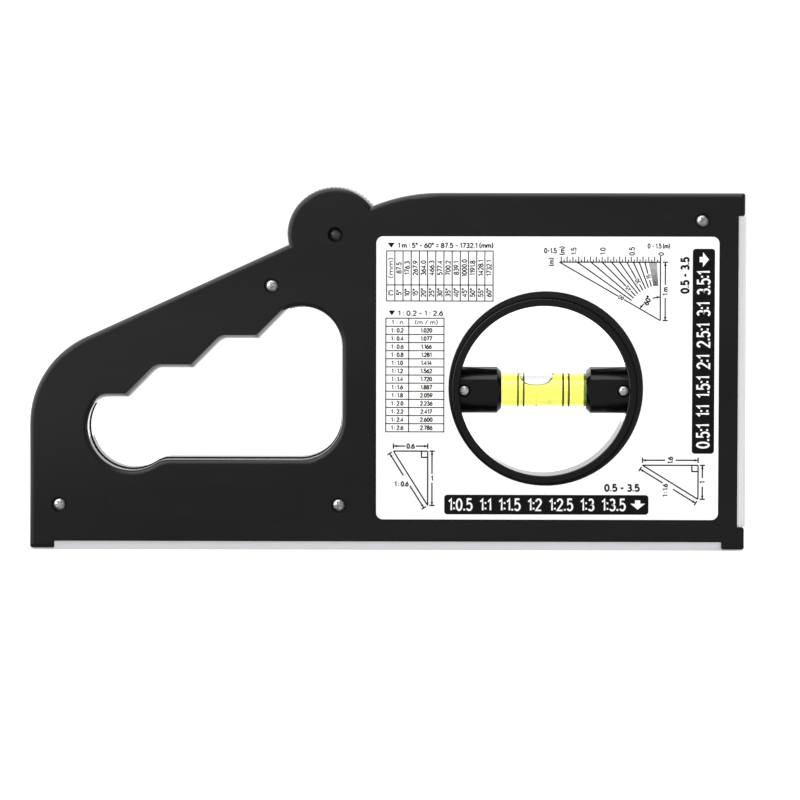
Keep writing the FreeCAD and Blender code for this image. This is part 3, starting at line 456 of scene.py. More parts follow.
# ---------------------------------------------------------------- prints
MITRE_LIMIT = 0.62             # keeps sharp bends from running out into long points
STROKE_LIFT = 0.002            # a sign's next stroke stands this much higher
INK_SINK = 0.005               # how far a print reaches into its sheet
HEAD_SPREAD = 0.38             # half width of an arrow head, as a share of its length
HEAD_LENGTH = 1.5
TICK = 1.1                     # half length of a tick at the end of a dimension line
CLOSED_WITHIN = 1e-6           # a stroke whose ends are nearer than this is closed


class Print:
    """Ink on a flat sheet, drawn in millimetres: u to the right and v up as it is read."""

    def __init__(self, origin, front=False, level=0.0):
        self.ink = bmesh.new()
        rows = ((-1, 0, 0), (0, 0, 1), (0, 1, 0)) if front else ((1, 0, 0), (0, 0, -1), (0, 1, 0))
        turn = Matrix(rows).to_4x4()
        self.place = Matrix.Translation(origin) @ turn @ Matrix.Scale(MM, 4)
        self.low = level - INK_SINK
        self.high = level + INK_HEIGHT

    def area(self, corners):
        """A filled outline."""
        upper = [self.ink.verts.new(self.place @ Vector((u, v, self.high))) for u, v in corners]
        lower = [self.ink.verts.new(self.place @ Vector((u, v, self.low))) for u, v in corners]
        self.ink.faces.new(upper)
        self.ink.faces.new(reversed(lower))
        for here in range(len(corners)):
            there = (here + 1) % len(corners)
            self.ink.faces.new((upper[here], lower[here], lower[there], upper[there]))

    def line(self, start, end, width):
        start, end = Vector(start), Vector(end)
        along = (end - start).normalized()
        side = Vector((-along.y, along.x)) * (width / 2)
        self.area([start - side, end - side, end + side, start + side])

    def strip(self, points, width, closed=False):
        """A line of even width along the points, with its bends mitred."""
        points = [Vector(point) for point in points]
        count = len(points)
        edges = []
        for here, point in enumerate(points):
            come = point - points[here - 1]
            go = points[(here + 1) % count] - point
            if not closed and here == 0:
                come = go
            if not closed and here == count - 1:
                go = come
            across = Vector((-go.y, go.x)).normalized()
            side = (Vector((-come.y, come.x)).normalized() + across).normalized()
            side *= width / 2 / max(side.dot(across), MITRE_LIMIT)
            corners = ((point + side, self.high), (point - side, self.high),
                       (point - side, self.low), (point + side, self.low))
            edges.append([self.ink.verts.new(self.place @ Vector((*corner, level)))
                          for corner, level in corners])
        for first, second in zip(edges, edges[1:] + edges[:closed]):
            for here in range(4):
                there = (here + 1) % 4
                self.ink.faces.new((first[here], first[there], second[there], second[here]))
        if not closed:
            self.ink.faces.new(edges[0])
            self.ink.faces.new(edges[-1])

    def frame(self, left, low, right, high, width):
        corners = [(left, low), (right, low), (right, high), (left, high)]
        self.strip(corners, width, closed=True)

    def arrow_head(self, tip, direction):
        tip, along = Vector(tip), Vector(direction).normalized() * HEAD_LENGTH
        side = Vector((-along.y, along.x)) * HEAD_SPREAD
        self.area([tip, tip - along + side, tip - along - side])

    def dimension(self, start, end, width, gap):
        """A dimension line with a tick and an arrow at each end and a gap for its number."""
        start, end = Vector(start), Vector(end)
        along = (end - start).normalized()
        side = Vector((-along.y, along.x))
        half = (end - start).length / 2 - gap / 2
        for tip, inward in ((start, along), (end, -along)):
            self.line(tip - side * TICK, tip + side * TICK, width)
            self.line(tip, tip + inward * half, width)
            self.arrow_head(tip, -inward)

    def text(self, body, at, size, turn=0.0, weight=0.23, fill=0.0):
        """Signs in strokes, centred on a point and stretched to fill a width, if one is given."""
        unit = size / (1 + weight)
        total = sum(SIGNS[sign][0] for sign in body) + SIGN_GAP * (len(body) - 1)
        stretch = (fill - weight * unit) / (total * unit) if fill else 1.0
        spin = Matrix.Rotation(math.radians(turn), 2)
        level = self.high
        start = -total / 2
        for sign in body:
            width, strokes = SIGNS[sign]
            for place, stroke in enumerate(strokes):
                self.high = level + place * STROKE_LIFT
                closed = (Vector(stroke[0]) - Vector(stroke[-1])).length < CLOSED_WITHIN
                points = []
                for u, v in stroke[:-1] if closed else stroke:
                    drawn = Vector(((start + u) * unit * stretch, (v - 0.5) * unit))
                    points.append(Vector(at) + spin @ drawn)
                self.strip(points, weight * unit, closed)
            start += width + SIGN_GAP
        self.high = level

    def rows(self, tree, **values):
        """Adds a row of bars. The values are the tree's inputs, in metres."""
        mesh = grown(tree, {key.replace("_", " ").title(): value for key, value in values.items()})
        self.ink.from_mesh(mesh)
        bpy.data.meshes.remove(mesh)

    def mesh(self, name):
        bmesh.ops.remove_doubles(self.ink, verts=self.ink.verts, dist=1e-7)
        bmesh.ops.recalc_face_normals(self.ink, faces=self.ink.faces)
        mesh = bpy.data.meshes.new(name)
        self.ink.to_mesh(mesh)
        self.ink.free()
        return mesh


CORNER_STEPS = 6


def rounded(left, low, right, high, radius):
    """Outline of a box with rounded corners."""
    corners = []
    for turn, u, v in ((180, left + radius, low + radius), (270, right - radius, low + radius),
                       (0, right - radius, high - radius), (90, left + radius, high - radius)):
        for step in range(CORNER_STEPS + 1):
            angle = math.radians(turn + 90 * step / CORNER_STEPS)
            corners.append((u + radius * math.cos(angle), v + radius * math.sin(angle)))
    return corners


INK_MIDDLE = LABEL_FACE - MM * INK_HEIGHT / 2
TABLE_ANGLES = range(5, 61, 5)
TABLE_RATIOS = [0.2 * step for step in range(1, 14)]


def angle_table(ink, tree, rule):
    """Rise on a metre for evenly spaced angles, one column each."""
    left, right, low, high, split = -0.35, 44.1, 104.4, 125.3, 111.1
    rise_level, angle_level = 118.2, 107.9
    columns = len(TABLE_ANGLES) + 1
    pitch = (right - left) / columns
    ink.frame(left, low, right, high, rule)
    ink.line((left, split), (right, split), rule)
    ink.rows(tree, count=columns - 1,
             start=(MM * (left + pitch), INK_MIDDLE, MM * (low + high) / 2),
             step=(MM * pitch, 0.0, 0.0),
             bar_size=(MM * rule, MM * INK_HEIGHT, MM * (high - low)))
    ink.text("(mm)", (left + pitch / 2, rise_level), 2.1, turn=90.0, weight=0.2, fill=8.5)
    ink.text("(°)", (left + pitch / 2, angle_level - 0.1), 2.1, turn=90.0)
    for place, angle in enumerate(TABLE_ANGLES, 1):
        middle = left + pitch * (place + 0.5)
        rise = 1000 * math.tan(math.radians(angle))
        ink.text(f"{rise:.1f}", (middle, rise_level), 2.3, turn=90.0)
        ink.text(f"{angle}°", (middle, angle_level), 2.3, turn=90.0)
    ink.area([(0.1, 128.7), (3.0, 128.7), (1.55, 126.6)])
    heading = "1 m : 5° - 60° = 87.5 - 1732.1 (mm)"
    ink.text(heading, (24.2, 127.6), 2.3, weight=0.26, fill=40.0)


def ratio_table(ink, tree, rule):
    """Slope length for evenly spaced slope ratios, one row each."""
    left, right, low, high, split = -0.65, 23.65, 49.65, 97.2, 8.93
    first, second = (left + split) / 2, (right + split) / 2
    rows = len(TABLE_RATIOS) + 1
    pitch = (high - low) / rows
    ink.frame(left, low, right, high, rule)
    ink.line((split, low), (split, high), rule)
    ink.rows(tree, count=rows - 1,
             start=(MM * (left + right) / 2, INK_MIDDLE, MM * (low + pitch)),
             step=(0.0, 0.0, MM * pitch),
             bar_size=(MM * (right - left), MM * INK_HEIGHT, MM * rule))
    ink.text("1 : n", (first, high - pitch / 2), 1.95, weight=0.22, fill=5.0)
    ink.text("(m / m)", (second, high - pitch / 2), 1.95, weight=0.22, fill=9.5)
    for place, ratio in enumerate(TABLE_RATIOS, 1):
        middle = high - pitch * (place + 0.5)
        slope = math.sqrt(1 + ratio * ratio)
        ink.text(f"1 : {ratio:.1f}", (first, middle), 2.0, weight=0.28)
        ink.text(f"{slope:.3f}", (second, middle), 2.0, weight=0.28)
    ink.area([(0.5, 100.4), (3.2, 100.4), (1.85, 98.3)])
    ink.text("1 : 0.2 - 1 : 2.6", (13.8, 99.3), 2.3, weight=0.26, fill=19.0)


def fan_chart(ink, tree, rule):
    """Angles from a point, read off on a metre scale."""
    apex, top, metre = Vector((113.95, 96.4)), 120.75, 24.36
    fine, coarse = range(4, 12), range(15, 61, 5)
    ray_start, number_at, number_gap, arc = 14.6, 18.9, [17.5, 20.3], 9.8
    widest = coarse[-1]
    bold = rule * 1.22
    ink.line((apex.x - metre * math.tan(math.radians(widest)), top), (apex.x, top), bold)
    ink.line(apex, (apex.x, top + 2.6), bold)
    ink.rows(tree, count=35, start=(MM * apex.x, INK_MIDDLE, MM * top),
             step=(-MM * metre / 20, 0.0, 0.0), bar_size=(MM * rule, MM * INK_HEIGHT, MM * 2.3),
             anchor=0.5, middle_every=2, middle_length=1.0, long_every=2, short_length=0.5)
    for angle in (*fine, *coarse):
        slope = math.radians(angle)
        towards = Vector((-math.sin(slope), math.cos(slope)))
        stops = [0.0 if angle == widest else ray_start, (top - apex.y) / math.cos(slope)]
        if angle % 15 == 0:
            ink.text(f"{angle}", apex + towards * number_at, 1.9, turn=90.0 + angle)
            stops[1:1] = number_gap
        width = bold if angle in coarse else rule * 0.5
        for near, far in zip(stops[::2], stops[1::2]):
            ink.line(apex + towards * near, apex + towards * far, width)
    for value in (0.0, 0.5, 1.0, 1.5):
        reading = f"{value:.1f}" if value else "0"
        level = 125.3 if value else 124.2
        ink.text(reading, (apex.x - metre * value + 0.3, level), 2.4, turn=90.0, weight=0.22)
    ink.text("(m)", (68.4, 120.8), 2.3, turn=90.0)
    ink.text("(m)", (72.9, 125.5), 2.4, turn=90.0)
    ink.text("0-1.5", (68.0, 125.5), 2.4, weight=0.24, fill=5.4)
    ink.text("0 - 1.5 (m)", (113.2, 127.5), 2.2, weight=0.24, fill=9.4)
    ink.strip(bow(*apex, arc, arc, 92, 109), bold)
    ink.strip(bow(*apex, arc, arc, 134, 148), bold)
    ink.arrow_head((apex.x, apex.y + arc), (1.0, 0.05))
    ink.arrow_head((apex.x - 8.5, apex.y + 4.9), (-0.5, -0.86))
    ink.text("60°", (apex.x - 5.3, apex.y + 8.3), 2.5, turn=64.0, weight=0.27)
    beside = 116.0
    ink.dimension((beside, apex.y), (beside, top), bold, 5.4)
    ink.text("1 m", (beside, (apex.y + top) / 2), 2.4, turn=90.0, weight=0.25)


SIGN_SQUARE = 2.6              # side of the square in a slope sign's right angle
SIGN_WEIGHT = 0.3


def slope_sign(ink, corners, run, rule, aside, gap, turn=0.0):
    """A right triangle with its three numbers. The corners are left, right angle and far."""
    left, right, far = (Vector(corner) for corner in corners)
    for start, end in ((left, right), (right, far), (far, left)):
        ink.line(start, end, rule)
    across, down = Vector((-SIGN_SQUARE, 0.0)), Vector((0.0, -SIGN_SQUARE))
    ink.strip([right + across, right + across + down, right + down], rule)
    lift = Vector((0.0, 2.1))
    ink.dimension(left + lift, right + lift, rule, 4.4)
    ink.text(run, (left + right) / 2 + lift, 2.4, turn, SIGN_WEIGHT)
    beside = Vector((1.8, 0.0))
    ink.dimension(right + beside, far + beside, rule, 3.6)
    ink.text("1", (right + far) / 2 + beside, 2.4, turn, SIGN_WEIGHT)
    along = (far - left).normalized()
    away = Vector((along.y, -along.x)) * 1.9
    ink.dimension(left + away, far + away, rule, gap)
    ink.text(f"1 : {run}", (left + far) / 2 + away * aside, 2.3, turn, SIGN_WEIGHT)


def direction_arrow(ink, at, turn=0.0):
    """A short block arrow. It points down at turn 0."""
    shape = ((-1.1, 1.8), (1.1, 1.8), (1.1, 0.4), (3.1, 0.4),
             (0.0, -2.1), (-3.1, 0.4), (-1.1, 0.4))
    spin = Matrix.Rotation(math.radians(turn), 2)
    ink.area([Vector(at) + spin @ Vector(corner) for corner in shape])


# ---------------------------------------------------------------- vial
# Sizes in millimetres, from the vial's middle and its axis.
BORE = 6.4
LIQUID_RADIUS = 6.45           # reaches into the tube's wall, so that no air shows between them
AIR_RADIUS = 6.3
ROOM_END = 22.0
LAST_RING = 17.0               # the liquid's last cross-section before its end
BUBBLE_BEYOND = 1.5            # from the bubble's tip to the liquid's next cross-section
BUBBLE_STEPS = 24              # cross-sections from the bubble's middle to its tip
RING_POINTS = 96
AIR_SHARE, AIR_LIFT = 0.985, 0.04      # keep the air clear of its hollow in the liquid
ROUNDNESS = 2.4                # 2 gives the bubble an oval outline, more a squarer one
# Green line of painted shade along the bubble's edge, standing for the refraction there:
OUTLINE_RADIUS = 6.05
OUTLINE_SIDES = 6
OUTLINE_SHARE = 0.97           # its length, as a share of the bubble's
OUTLINE_WIDTH = 0.14           # half its width
OUTLINE_TIP = 0.2              # how much is added to it at the bubble's tips
OUTLINE_HEIGHT = 0.12
SEAL_PLACE = (17.1, 17.65)     # its two ends along the vial
SEAL_RADII = (5.9, 6.3)
HEAD_RADIUS = 1.95             # of a holder screw
# Black rings of painted shade in the wells round the holder screws' heads:
SHADE_RING_RADII = (1.98, 2.6)
SHADE_RING_LEVELS = (6.62, 7.1)    # its two faces, from the vial's axis towards the label's side
SHADE_RING_POINTS = 48


def bubble_floor(offset, half_length, depth):
    """Height of the liquid under the bubble, above the vial's axis."""
    part = min(1.0, abs(offset) / half_length)
    return BORE - depth * (1.0 - part ** ROUNDNESS) ** (1 / ROUNDNESS)


def ring(shape, along, radius, limit):
    """One cross-section of the vial's filling, with every height passed through limit."""
    verts = []
    for step in range(RING_POINTS):
        angle = 2 * math.pi * step / RING_POINTS
        height = limit(radius * math.sin(angle))
        place = (DIAL_X + MM * along, MM * radius * math.cos(angle), DIAL_Z + MM * height)
        verts.append(shape.verts.new(place))
    return verts


def walls(shape, rings):
    """Joins each ring to the next."""
    for first, second in zip(rings, rings[1:]):
        for here in range(len(first)):
            there = (here + 1) % len(first)
            shape.faces.new((first[here], first[there], second[there], second[here]))


def capped(shape, rings):
    """Walls between the rings and a cap on each end. Returns the first cap."""
    walls(shape, rings)
    cap = shape.faces.new(rings[0])
    shape.faces.new(rings[-1])
    return cap


def finished(shape, name):
    bmesh.ops.remove_doubles(shape, verts=shape.verts, dist=1e-6)
    bmesh.ops.dissolve_degenerate(shape, edges=shape.edges, dist=1e-6)
    bmesh.ops.recalc_face_normals(shape, faces=shape.faces)
    mesh = bpy.data.meshes.new(name)
    shape.to_mesh(mesh)
    shape.free()
    return mesh


def liquid_half(name, side, middle, half_length, depth):
    """Liquid from the bubble's middle to one end of the vial, with the bubble's hollow."""
    shape = bmesh.new()
    rings = []
    for step in range(BUBBLE_STEPS + 1):
        offset = half_length * math.sin(math.radians(90 * step / BUBBLE_STEPS))
        floor = bubble_floor(offset, half_length, depth)
        rings.append(ring(shape, middle + side * offset, LIQUID_RADIUS, lambda z: min(z, floor)))
    beyond = middle + side * (half_length + BUBBLE_BEYOND)
    for place in (beyond, side * LAST_RING, side * ROOM_END):
        rings.append(ring(shape, place, LIQUID_RADIUS, lambda z: z))
    seam = capped(shape, rings)
    seam.material_index = 1
    return finished(shape, name)


def air_bubble(name, middle, half_length, depth):
    """The air, a little smaller than its hollow in the liquid."""
    shape = bmesh.new()
    rings = []
    for step in range(-BUBBLE_STEPS, BUBBLE_STEPS + 1):
        offset = AIR_SHARE * half_length * math.sin(math.radians(90 * step / BUBBLE_STEPS))
        floor = min(AIR_RADIUS, bubble_floor(offset, half_length, depth) + AIR_LIFT)
        rings.append(ring(shape, middle + offset, AIR_RADIUS, lambda z: max(z, floor)))
    capped(shape, rings)
    mesh = finished(shape, name)
    for face in mesh.polygons:
        face.use_smooth = True
    return mesh


def bubble_outline(name, middle, half_length, depth):
    """Thin green line of painted shade where the bubble's edge meets the bore, front and back,
    standing for the refraction at the bubble's edge.
    """
    places = []
    for step in range(RING_POINTS):
        angle = 2 * math.pi * (step + 0.5) / RING_POINTS
        offset = OUTLINE_SHARE * half_length * math.cos(angle)
        height = min(OUTLINE_RADIUS - 0.02, bubble_floor(offset, half_length, depth))
        out = math.copysign(math.sqrt(OUTLINE_RADIUS ** 2 - height ** 2), -math.sin(angle))
        wide = OUTLINE_WIDTH + OUTLINE_TIP * abs(math.cos(angle)) ** 3
        places.append((Vector((middle + offset, out, height)), wide))
    shape = bmesh.new()
    rings = []
    for here, (place, wide) in enumerate(places):
        along = places[(here + 1) % RING_POINTS][0] - places[here - 1][0]
        out = Vector((0.0, place.y, place.z))
        across = along.cross(out).normalized()
        out = across.cross(along).normalized()
        verts = []
        for side in range(OUTLINE_SIDES):
            turn = 2 * math.pi * side / OUTLINE_SIDES
            point = place + across * wide * math.cos(turn) + out * OUTLINE_HEIGHT * math.sin(turn)
            point = (DIAL_X + MM * point.x, MM * point.y, DIAL_Z + MM * point.z)
            verts.append(shape.verts.new(point))
        rings.append(verts)
    walls(shape, rings + rings[:1])
    return finished(shape, name)


def end_seal(name):
    """Thin ring in the bore, where the liquid ends."""
    shape = bmesh.new()
    (start, end), (inner, outer) = SEAL_PLACE, SEAL_RADII
    sizes = ((start, outer), (end, outer), (end, inner), (start, inner))
    rings = [ring(shape, place, radius, lambda z: z) for place, radius in sizes]
    walls(shape, rings + rings[:1])
    return finished(shape, name)


def screw_washers(name):
    """Black rings of painted shade that fill the wells round the holder screws' heads."""
    shape = bmesh.new()
    first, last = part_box("holder_screws")
    (inner, outer), (near, far) = SHADE_RING_RADII, SHADE_RING_LEVELS
    for centre in (first.x + MM * HEAD_RADIUS, last.x - MM * HEAD_RADIUS):
        rings = []
        for level, radius in ((near, inner), (near, outer), (far, outer), (far, inner)):
            verts = []
            for step in range(SHADE_RING_POINTS):
                turn = 2 * math.pi * step / SHADE_RING_POINTS
                place = (centre + MM * radius * math.cos(turn), -MM * level,
                         DIAL_Z + MM * radius * math.sin(turn))
                verts.append(shape.verts.new(place))
            rings.append(verts)
        walls(shape, rings + rings[:1])
    return finished(shape, name)


# ---------------------------------------------------------------- operators
class MakeCase(Operator):
    """Moulded finish of the case, the dial rings and the vial holders"""
    bl_idname = "slope_gauge.case"
    bl_label = "Case and dial rings"

    def execute(self, context):
        settings = context.scene.slope_gauge_case
        polish, face = settings.polish, settings.roughness
        case = moulded("case_black", settings.plastic, polish, face, settings.grain)
        paint(case, "rear_cover", "front_case")
        ring_tone = shade(settings.plastic, 0.9)
        rings = moulded("dial_black", ring_tone, polish, face - 0.06, settings.grain)
        paint(rings, "rear_bezel", "front_bezel", "vial_holder_left", "vial_holder_right")
        wall = moulded("drum_black", settings.plastic, 0.08, 0.24, settings.grain)
        paint(wall, "dial_drum")
        return {"FINISHED"}


class MakeMetal(Operator):
    """Brushed rails and plated screws"""
    bl_idname = "slope_gauge.metal"
    bl_label = "Rails and screws"

    def execute(self, context):
        settings = context.scene.slope_gauge_metal
        # The side rail's copy of the finish is 1.15 times brighter: painted light, for the side
        # rail being lit more brightly than the base rail.
        for name, node, light, stretch in (("rail_base", "base_rail", 1.0, (60.0, 1.0, 1.0)),
                                           ("rail_side_painted_light", "side_rail", 1.15, (1.0, 1.0, 60.0))):
            rail = finish(name, shade(settings.rail, light), 0.34, patch=0.003,
                          grain=settings.brushing, depth=0.000003, contrast=0.05,
                          spread=0.06, stretch=stretch, fixed={"Metallic": 0.5})
            paint(rail, node)
        plated = finish("screw_plated", settings.screw, 0.27, patch=0.0012, grain=0.0002,
                        contrast=0.2, spread=0.08, fixed={"Metallic": 1.0})
        paint(plated, "case_screws")
        satin = finish("screw_satin", settings.screw, 0.36, patch=0.0007, grain=0.0002,
                       contrast=0.3, spread=0.08, fixed={"Metallic": 0.75})
        paint(satin, "holder_screws")
        dark = finish("screw_dark", shade(settings.screw, 0.2), 0.34, patch=0.001, grain=0.0002,
                      contrast=0.25, fixed={"Metallic": 1.0})
        paint(dark, "axle_screw")
        pins = finish("pin_polished", shade(settings.screw, 0.85), 0.2, patch=0.002,
                      grain=0.0003, fixed={"Metallic": 1.0})
        paint(pins, "wheel_axle", "idler_pin")
        return {"FINISHED"}


class MakeDrive(Operator):
    """Finish of the thumbwheel, its gears and the friction washer"""
    bl_idname = "slope_gauge.drive"
    bl_label = "Thumbwheel and gears"

    def execute(self, context):
        settings = context.scene.slope_gauge_case
        wheel = finish("wheel_grey", settings.wheel, 0.34, patch=0.006, grain=0.0004,
                       depth=0.000008, contrast=0.08)
        paint(wheel, "thumbwheel")
        gear = finish("gear_white", (0.72, 0.7, 0.62), 0.38, patch=0.008, contrast=0.05)
        paint(gear, "drive_pinion", "idler_gear", "dial_gear")
        felt = finish("felt_grey", (0.12, 0.12, 0.115), 0.9, patch=0.003, grain=0.0005,
                      depth=0.00012, contrast=0.35, spread=0.04)
        paint(felt, "friction_washer")
        plug = finish("plug_grey", (0.3, 0.3, 0.28), 0.5, patch=0.004)
        paint(plug, "vial_plugs")
        pointer = finish("pointer_red", (0.55, 0.02, 0.015), 0.35, patch=0.004, contrast=0.1)
        paint(pointer, "index_pointers")
        return {"FINISHED"}


def sheet_materials(settings):
    paper = finish("sheet_white", settings.paper, 0.42, patch=0.012, grain=0.0005,
                   depth=0.000003, contrast=0.008, spread=0.05)
    ink = finish("ink_black", settings.ink, 0.45, patch=0.002, grain=0.0003,
                 depth=0.000002, contrast=0.25, fixed={"Specular IOR Level": 0.15})
    white = finish("ink_white", shade(settings.paper, 0.97), 0.45, patch=0.002, contrast=0.02)
    return paper, ink, white


class MakeLabel(Operator):
    """Reference label on the rear: tables, slope signs, chart and banners"""
    bl_idname = "slope_gauge.label"
    bl_label = "Rear label"

    def execute(self, context):
        settings = context.scene.slope_gauge_print
        paper, black, white = sheet_materials(settings)
        paint(paper, "rear_label", "scale_plate")
        rule = settings.rule / MM
        tree = bar_row_tree(black)
        origin = (0.0, LABEL_FACE, 0.0)
        tables = Print(origin)
        angle_table(tables, tree, rule)
        ratio_table(tables, tree, rule)
        add_piece("label_tables", tables.mesh("label_tables"), [black], "case")
        signs = Print(origin)
        fan_chart(signs, tree, rule)
        bold = rule * 1.35
        steep = ((2.6, 41.55), (16.95, 41.55), (16.95, 18.75))
        shallow = ((106.85, 35.85), (130.1, 35.85), (130.1, 21.6))
        slope_sign(signs, steep, "0.6", bold, aside=2.35, gap=5.1)
        slope_sign(signs, shallow, "1.6", bold, aside=2.1, gap=5.0, turn=90.0)
        add_piece("label_signs", signs.mesh("label_signs"), [black], "case")
        banners = Print(origin)
        banners.area(rounded(127.4, 40.7, 136.7, 126.4, radius=1.3))
        banners.area(rounded(23.9, 15.05, 109.4, 23.3, radius=1.3))
        banners.text("0.5 - 3.5", (124.2, 115.3), 3.9, turn=90.0, weight=0.29, fill=15.5)
        banners.text("0.5 - 3.5", (98.3, 26.3), 3.4, weight=0.29, fill=15.0)
        add_piece("label_banners", banners.mesh("label_banners"), [black], "case")
        marks = Print(origin, level=INK_HEIGHT)
        direction_arrow(marks, (132.05, 121.9), turn=90.0)
        direction_arrow(marks, (104.9, 19.3))
        halves = [f"{step / 2:g}" for step in range(1, 8)]
        marks.text("  ".join(f"{half}:1" for half in halves), (132.05, 80.1),
                   5.8, turn=90.0, weight=0.16, fill=74.5)
        marks.text("  ".join(f"1:{half}" for half in halves), (62.7, 19.15),
                   5.4, weight=0.16, fill=74.5)
        add_piece("banner_marks", marks.mesh("banner_marks"), [white], "case")
        return {"FINISHED"}


SCALE_RADIUS = 43.6
SCALE_MARK = 4.4
NUMBER_RADIUS = 50.4


class MakeScale(Operator):
    """Degree scale round the dial on the front plate"""
    bl_idname = "slope_gauge.scale"
    bl_label = "Front scale"

    def execute(self, context):
        settings = context.scene.slope_gauge_print
        black = bpy.data.materials["ink_black"]
        tree = bpy.data.node_groups["bar_row"]
        scale = Print((DIAL_X, PLATE_FACE, DIAL_Z), front=True)
        centre = (DIAL_X, PLATE_FACE + MM * INK_HEIGHT / 2, DIAL_Z)
        marks = settings.degrees
        scale.rows(tree, count=marks, start=(DIAL_X, centre[1], DIAL_Z + MM * SCALE_RADIUS),
                   pivot=centre, turn=2 * math.pi / marks,
                   bar_size=(settings.rule, MM * INK_HEIGHT, MM * SCALE_MARK), anchor=0.5,
                   middle_every=5, middle_length=0.75, long_every=10, short_length=0.5)
        turns = [math.radians(angle) for angle in range(0, 360, 2)]
        rim = [(SCALE_RADIUS * math.sin(turn), SCALE_RADIUS * math.cos(turn)) for turn in turns]
        scale.strip(rim, settings.rule / MM, closed=True)
        for angle in range(0, 360, 10):
            reading = min(angle % 180, 180 - angle % 180)
            slope = math.radians(angle)
            at = (NUMBER_RADIUS * math.sin(slope), NUMBER_RADIUS * math.cos(slope))
            scale.text(str(reading), at, 3.4, turn=-angle, weight=0.16)
        add_piece("scale_marks", scale.mesh("scale_marks"), [black], "case")
        return {"FINISHED"}


class MakeVial(Operator):
    """Clear tube, coloured liquid, air bubble and reading lines"""
    bl_idname = "slope_gauge.vial"
    bl_label = "Bubble vial"

    def execute(self, context):
        settings = context.scene.slope_gauge_vial
        tube = clear_material("vial_clear", (1.0, 1.0, 1.0), 1.49, 0.015)
        paint(tube, "vial_tube")
        lines = finish("line_green", (0.012, 0.04, 0.008), 0.4, patch=0.001, contrast=0.3)
        paint(lines, "vial_lines")
        liquid = coloured_liquid(settings)
        seam = unseen("seam_clear")
        low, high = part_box("vial_bubble")
        middle = ((low.x + high.x) / 2 - DIAL_X) / MM
        half_length = settings.bubble_length / MM / 2
        depth = settings.bubble_depth / MM
        for side, name in ((-1, "liquid_left"), (1, "liquid_right")):
            mesh = liquid_half(name, side, middle, half_length, depth)
            for face in mesh.polygons:
                face.use_smooth = len(face.vertices) < 5
            half = add_piece(name, mesh, [liquid, seam], None)
            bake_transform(half)
            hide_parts("vial_liquid")
        air = unseen("bubble_clear")
        bubble = air_bubble("air_bubble", middle, half_length, depth)
        add_piece("air_bubble", bubble, [air], "bubble", ["vial_bubble"])
        # Green of painted refraction shade along the bubble's edge; the end seal shares this
        # finish.
        rim = finish("bubble_rim", settings.rim, 0.3, patch=0.004)
        outline = bubble_outline("bubble_outline", middle, half_length, depth)
        add_piece("bubble_outline", outline, [rim], "bubble")
        # Black rings of painted shade in the wells round the holder screws' heads.
        shade_black = finish("shade_ring_black", (0.0012, 0.0012, 0.0013), 0.8, patch=0.001,
                        contrast=0.3, fixed={"Specular IOR Level": 0.1})
        add_piece("screw_washers", screw_washers("screw_washers"), [shade_black], "dial")
        add_piece("end_seal", end_seal("end_seal"), [rim], "dial")
        return {"FINISHED"}


# ---------------------------------------------------------------- studio
FLOOR_HALF = 7.0
LAMPS = (("key", (-0.9, -1.3, 1.5)), ("rim", (0.6, 1.2, 1.4)))
LAMP_POWER = 3.0
LAMP_WIDTH = 1.2
CAMERA_PLACE = (0.01931, -1.53411, 0.13738)
CAMERA_TURN = (87.20155, -0.09261, 0.53148)
WHITE = (1.0, 1.0, 1.0, 1.0)


def mirrored(tree):
    """1 for what a glossy surface mirrors, 0 for what is seen directly or through glass."""
    ray = add(tree, "ShaderNodeLightPath").outputs
    return add(tree, "ShaderNodeMath", {
        0: ray["Is Glossy Ray"], 1: ray["Is Transmission Ray"],
    }, operation="SUBTRACT", use_clamp=True).outputs[0]


def floor_material(settings):
    """Pale floor. Reflections see it bright on the left and behind the gauge, else dim."""
    material, tree, surface = new_material("floor_white")
    patches = noise(tree, 0.8)
    tone = two_tone(tree, patches, shade(settings.floor, 0.99), settings.floor)
    tree.links.new(tone, surface.inputs["Base Color"])
    surface.inputs["Roughness"].default_value = 0.8
    surface.inputs["Specular IOR Level"].default_value = 0.1
    surface.inputs["Emission Color"].default_value = WHITE
    surface.inputs["Emission Strength"].default_value = 0.4
    place = add(tree, "ShaderNodeTexCoord").outputs["Object"]
    place = add(tree, "ShaderNodeSeparateXYZ", {"Vector": place}).outputs
    beside = stretched(tree, place["X"], -0.5, -0.22, 2.1, 0.26)
    behind = stretched(tree, place["Y"], 0.02, 0.4, 0.0, 2.0)
    glow = add(tree, "ShaderNodeMath", {0: beside, 1: behind}, operation="ADD").outputs[0]
    dim = add(tree, "ShaderNodeEmission", {"Strength": glow})
    shown = add(tree, "ShaderNodeMixShader", {
        0: mirrored(tree), 1: surface.outputs[0], 2: dim.outputs[0],
    })
    output = next(node for node in tree.nodes if node.type == "OUTPUT_MATERIAL")
    tree.links.new(shown.outputs[0], output.inputs["Surface"])
    return material


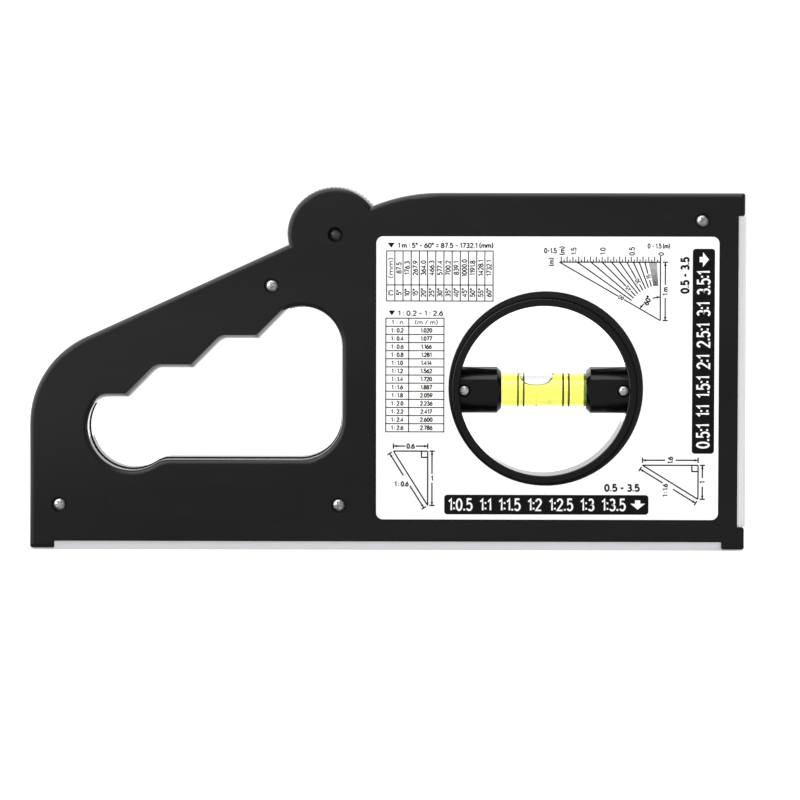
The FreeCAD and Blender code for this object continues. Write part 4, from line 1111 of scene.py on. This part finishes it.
def studio_sky(settings):
    """Even white light. Reflections see a studio that is brighter on one side."""
    world = bpy.data.worlds.new("sky")
    world.use_nodes = True
    tree = world.node_tree
    tree.nodes.clear()
    even = add(tree, "ShaderNodeBackground", {"Color": WHITE, "Strength": settings.sky})
    direction = add(tree, "ShaderNodeTexCoord").outputs["Generated"]

    def lit_from(side, *values):
        towards = add(tree, "ShaderNodeVectorMath", {0: direction, 1: side},
                      operation="DOT_PRODUCT").outputs["Value"]
        return stretched(tree, towards, *values)

    strength = add(tree, "ShaderNodeMath", {
        0: lit_from((0.0, 1.0, 0.0), -1.0, 1.0, 0.18, 0.95),
        1: lit_from(settings.bright_side, 0.25, 0.55, 0.0, 2.0),
    }, operation="ADD").outputs[0]
    cool = (0.985, 0.985, 1.0, 1.0)
    sided = add(tree, "ShaderNodeBackground", {"Color": cool, "Strength": strength})
    both = add(tree, "ShaderNodeMixShader", {
        0: mirrored(tree), 1: even.outputs[0], 2: sided.outputs[0],
    })
    add(tree, "ShaderNodeOutputWorld", {"Surface": both.outputs[0]})
    return world


def studio_lamp(name, place):
    """Soft lamp that faces the gauge."""
    lamp = bpy.data.lights.new(name, "AREA")
    lamp.energy = LAMP_POWER
    lamp.size = LAMP_WIDTH
    light = new_object(name, lamp)
    light.location = place
    light.rotation_euler = Vector(place).to_track_quat("Z", "Y").to_euler()


def studio_camera(settings):
    lens = bpy.data.cameras.new("view")
    lens.lens = settings.lens
    lens.sensor_width = 36.0
    lens.clip_start = 0.05
    lens.clip_end = 60.0
    camera = new_object("view", lens)
    camera.location = CAMERA_PLACE
    camera.rotation_euler = [math.radians(turn) for turn in CAMERA_TURN]
    return camera


class MakeStudio(Operator):
    """Pale floor, soft light and the camera"""
    bl_idname = "slope_gauge.studio"
    bl_label = "Studio"

    def execute(self, context):
        settings = context.scene.slope_gauge_studio
        scene = context.scene
        scene.view_settings.view_transform = "Standard"
        half = FLOOR_HALF
        mesh = bpy.data.meshes.new("floor")
        corners = [(-half, -half, 0), (half, -half, 0), (half, half, 0), (-half, half, 0)]
        mesh.from_pydata(corners, [], [(0, 1, 2, 3)])
        mesh.materials.append(floor_material(settings))
        floor = new_object("floor", mesh)
        scene.world = studio_sky(settings)
        for name, place in LAMPS:
            studio_lamp(name, place)
        scene.camera = studio_camera(settings)
        return {"FINISHED"}


# ---------------------------------------------------------------- panel and run
class GaugePanel(Panel):
    """Lists the steps that dress the gauge"""
    bl_idname = "VIEW3D_PT_slope_gauge"
    bl_label = "Slope gauge"
    bl_space_type = "VIEW_3D"
    bl_region_type = "UI"
    bl_category = "Slope gauge"

    def draw(self, context):
        for step in STEPS:
            self.layout.operator(step.bl_idname)


STEPS = (MakeCase, MakeMetal, MakeDrive, MakeLabel, MakeScale, MakeVial, MakeStudio)
SETTINGS = {
    "slope_gauge_case": CaseSettings,
    "slope_gauge_metal": MetalSettings,
    "slope_gauge_print": PrintSettings,
    "slope_gauge_vial": VialSettings,
    "slope_gauge_studio": StudioSettings,
}


def register():
    for group in SETTINGS.values():
        bpy.utils.register_class(group)
    for name, group in SETTINGS.items():
        setattr(bpy.types.Scene, name, PointerProperty(type=group))
    for step in STEPS:
        bpy.utils.register_class(step)
    bpy.utils.register_class(GaugePanel)


def unregister():
    bpy.utils.unregister_class(GaugePanel)
    for step in reversed(STEPS):
        bpy.utils.unregister_class(step)
    for name in SETTINGS:
        delattr(bpy.types.Scene, name)
    for group in reversed(SETTINGS.values()):
        bpy.utils.unregister_class(group)


def main():
    register()
    bpy.ops.slope_gauge.case()
    bpy.ops.slope_gauge.metal()
    bpy.ops.slope_gauge.drive()
    bpy.ops.slope_gauge.label()
    bpy.ops.slope_gauge.scale()
    bpy.ops.slope_gauge.vial()
    bpy.ops.slope_gauge.studio()


if __name__ == "__main__":
    main()
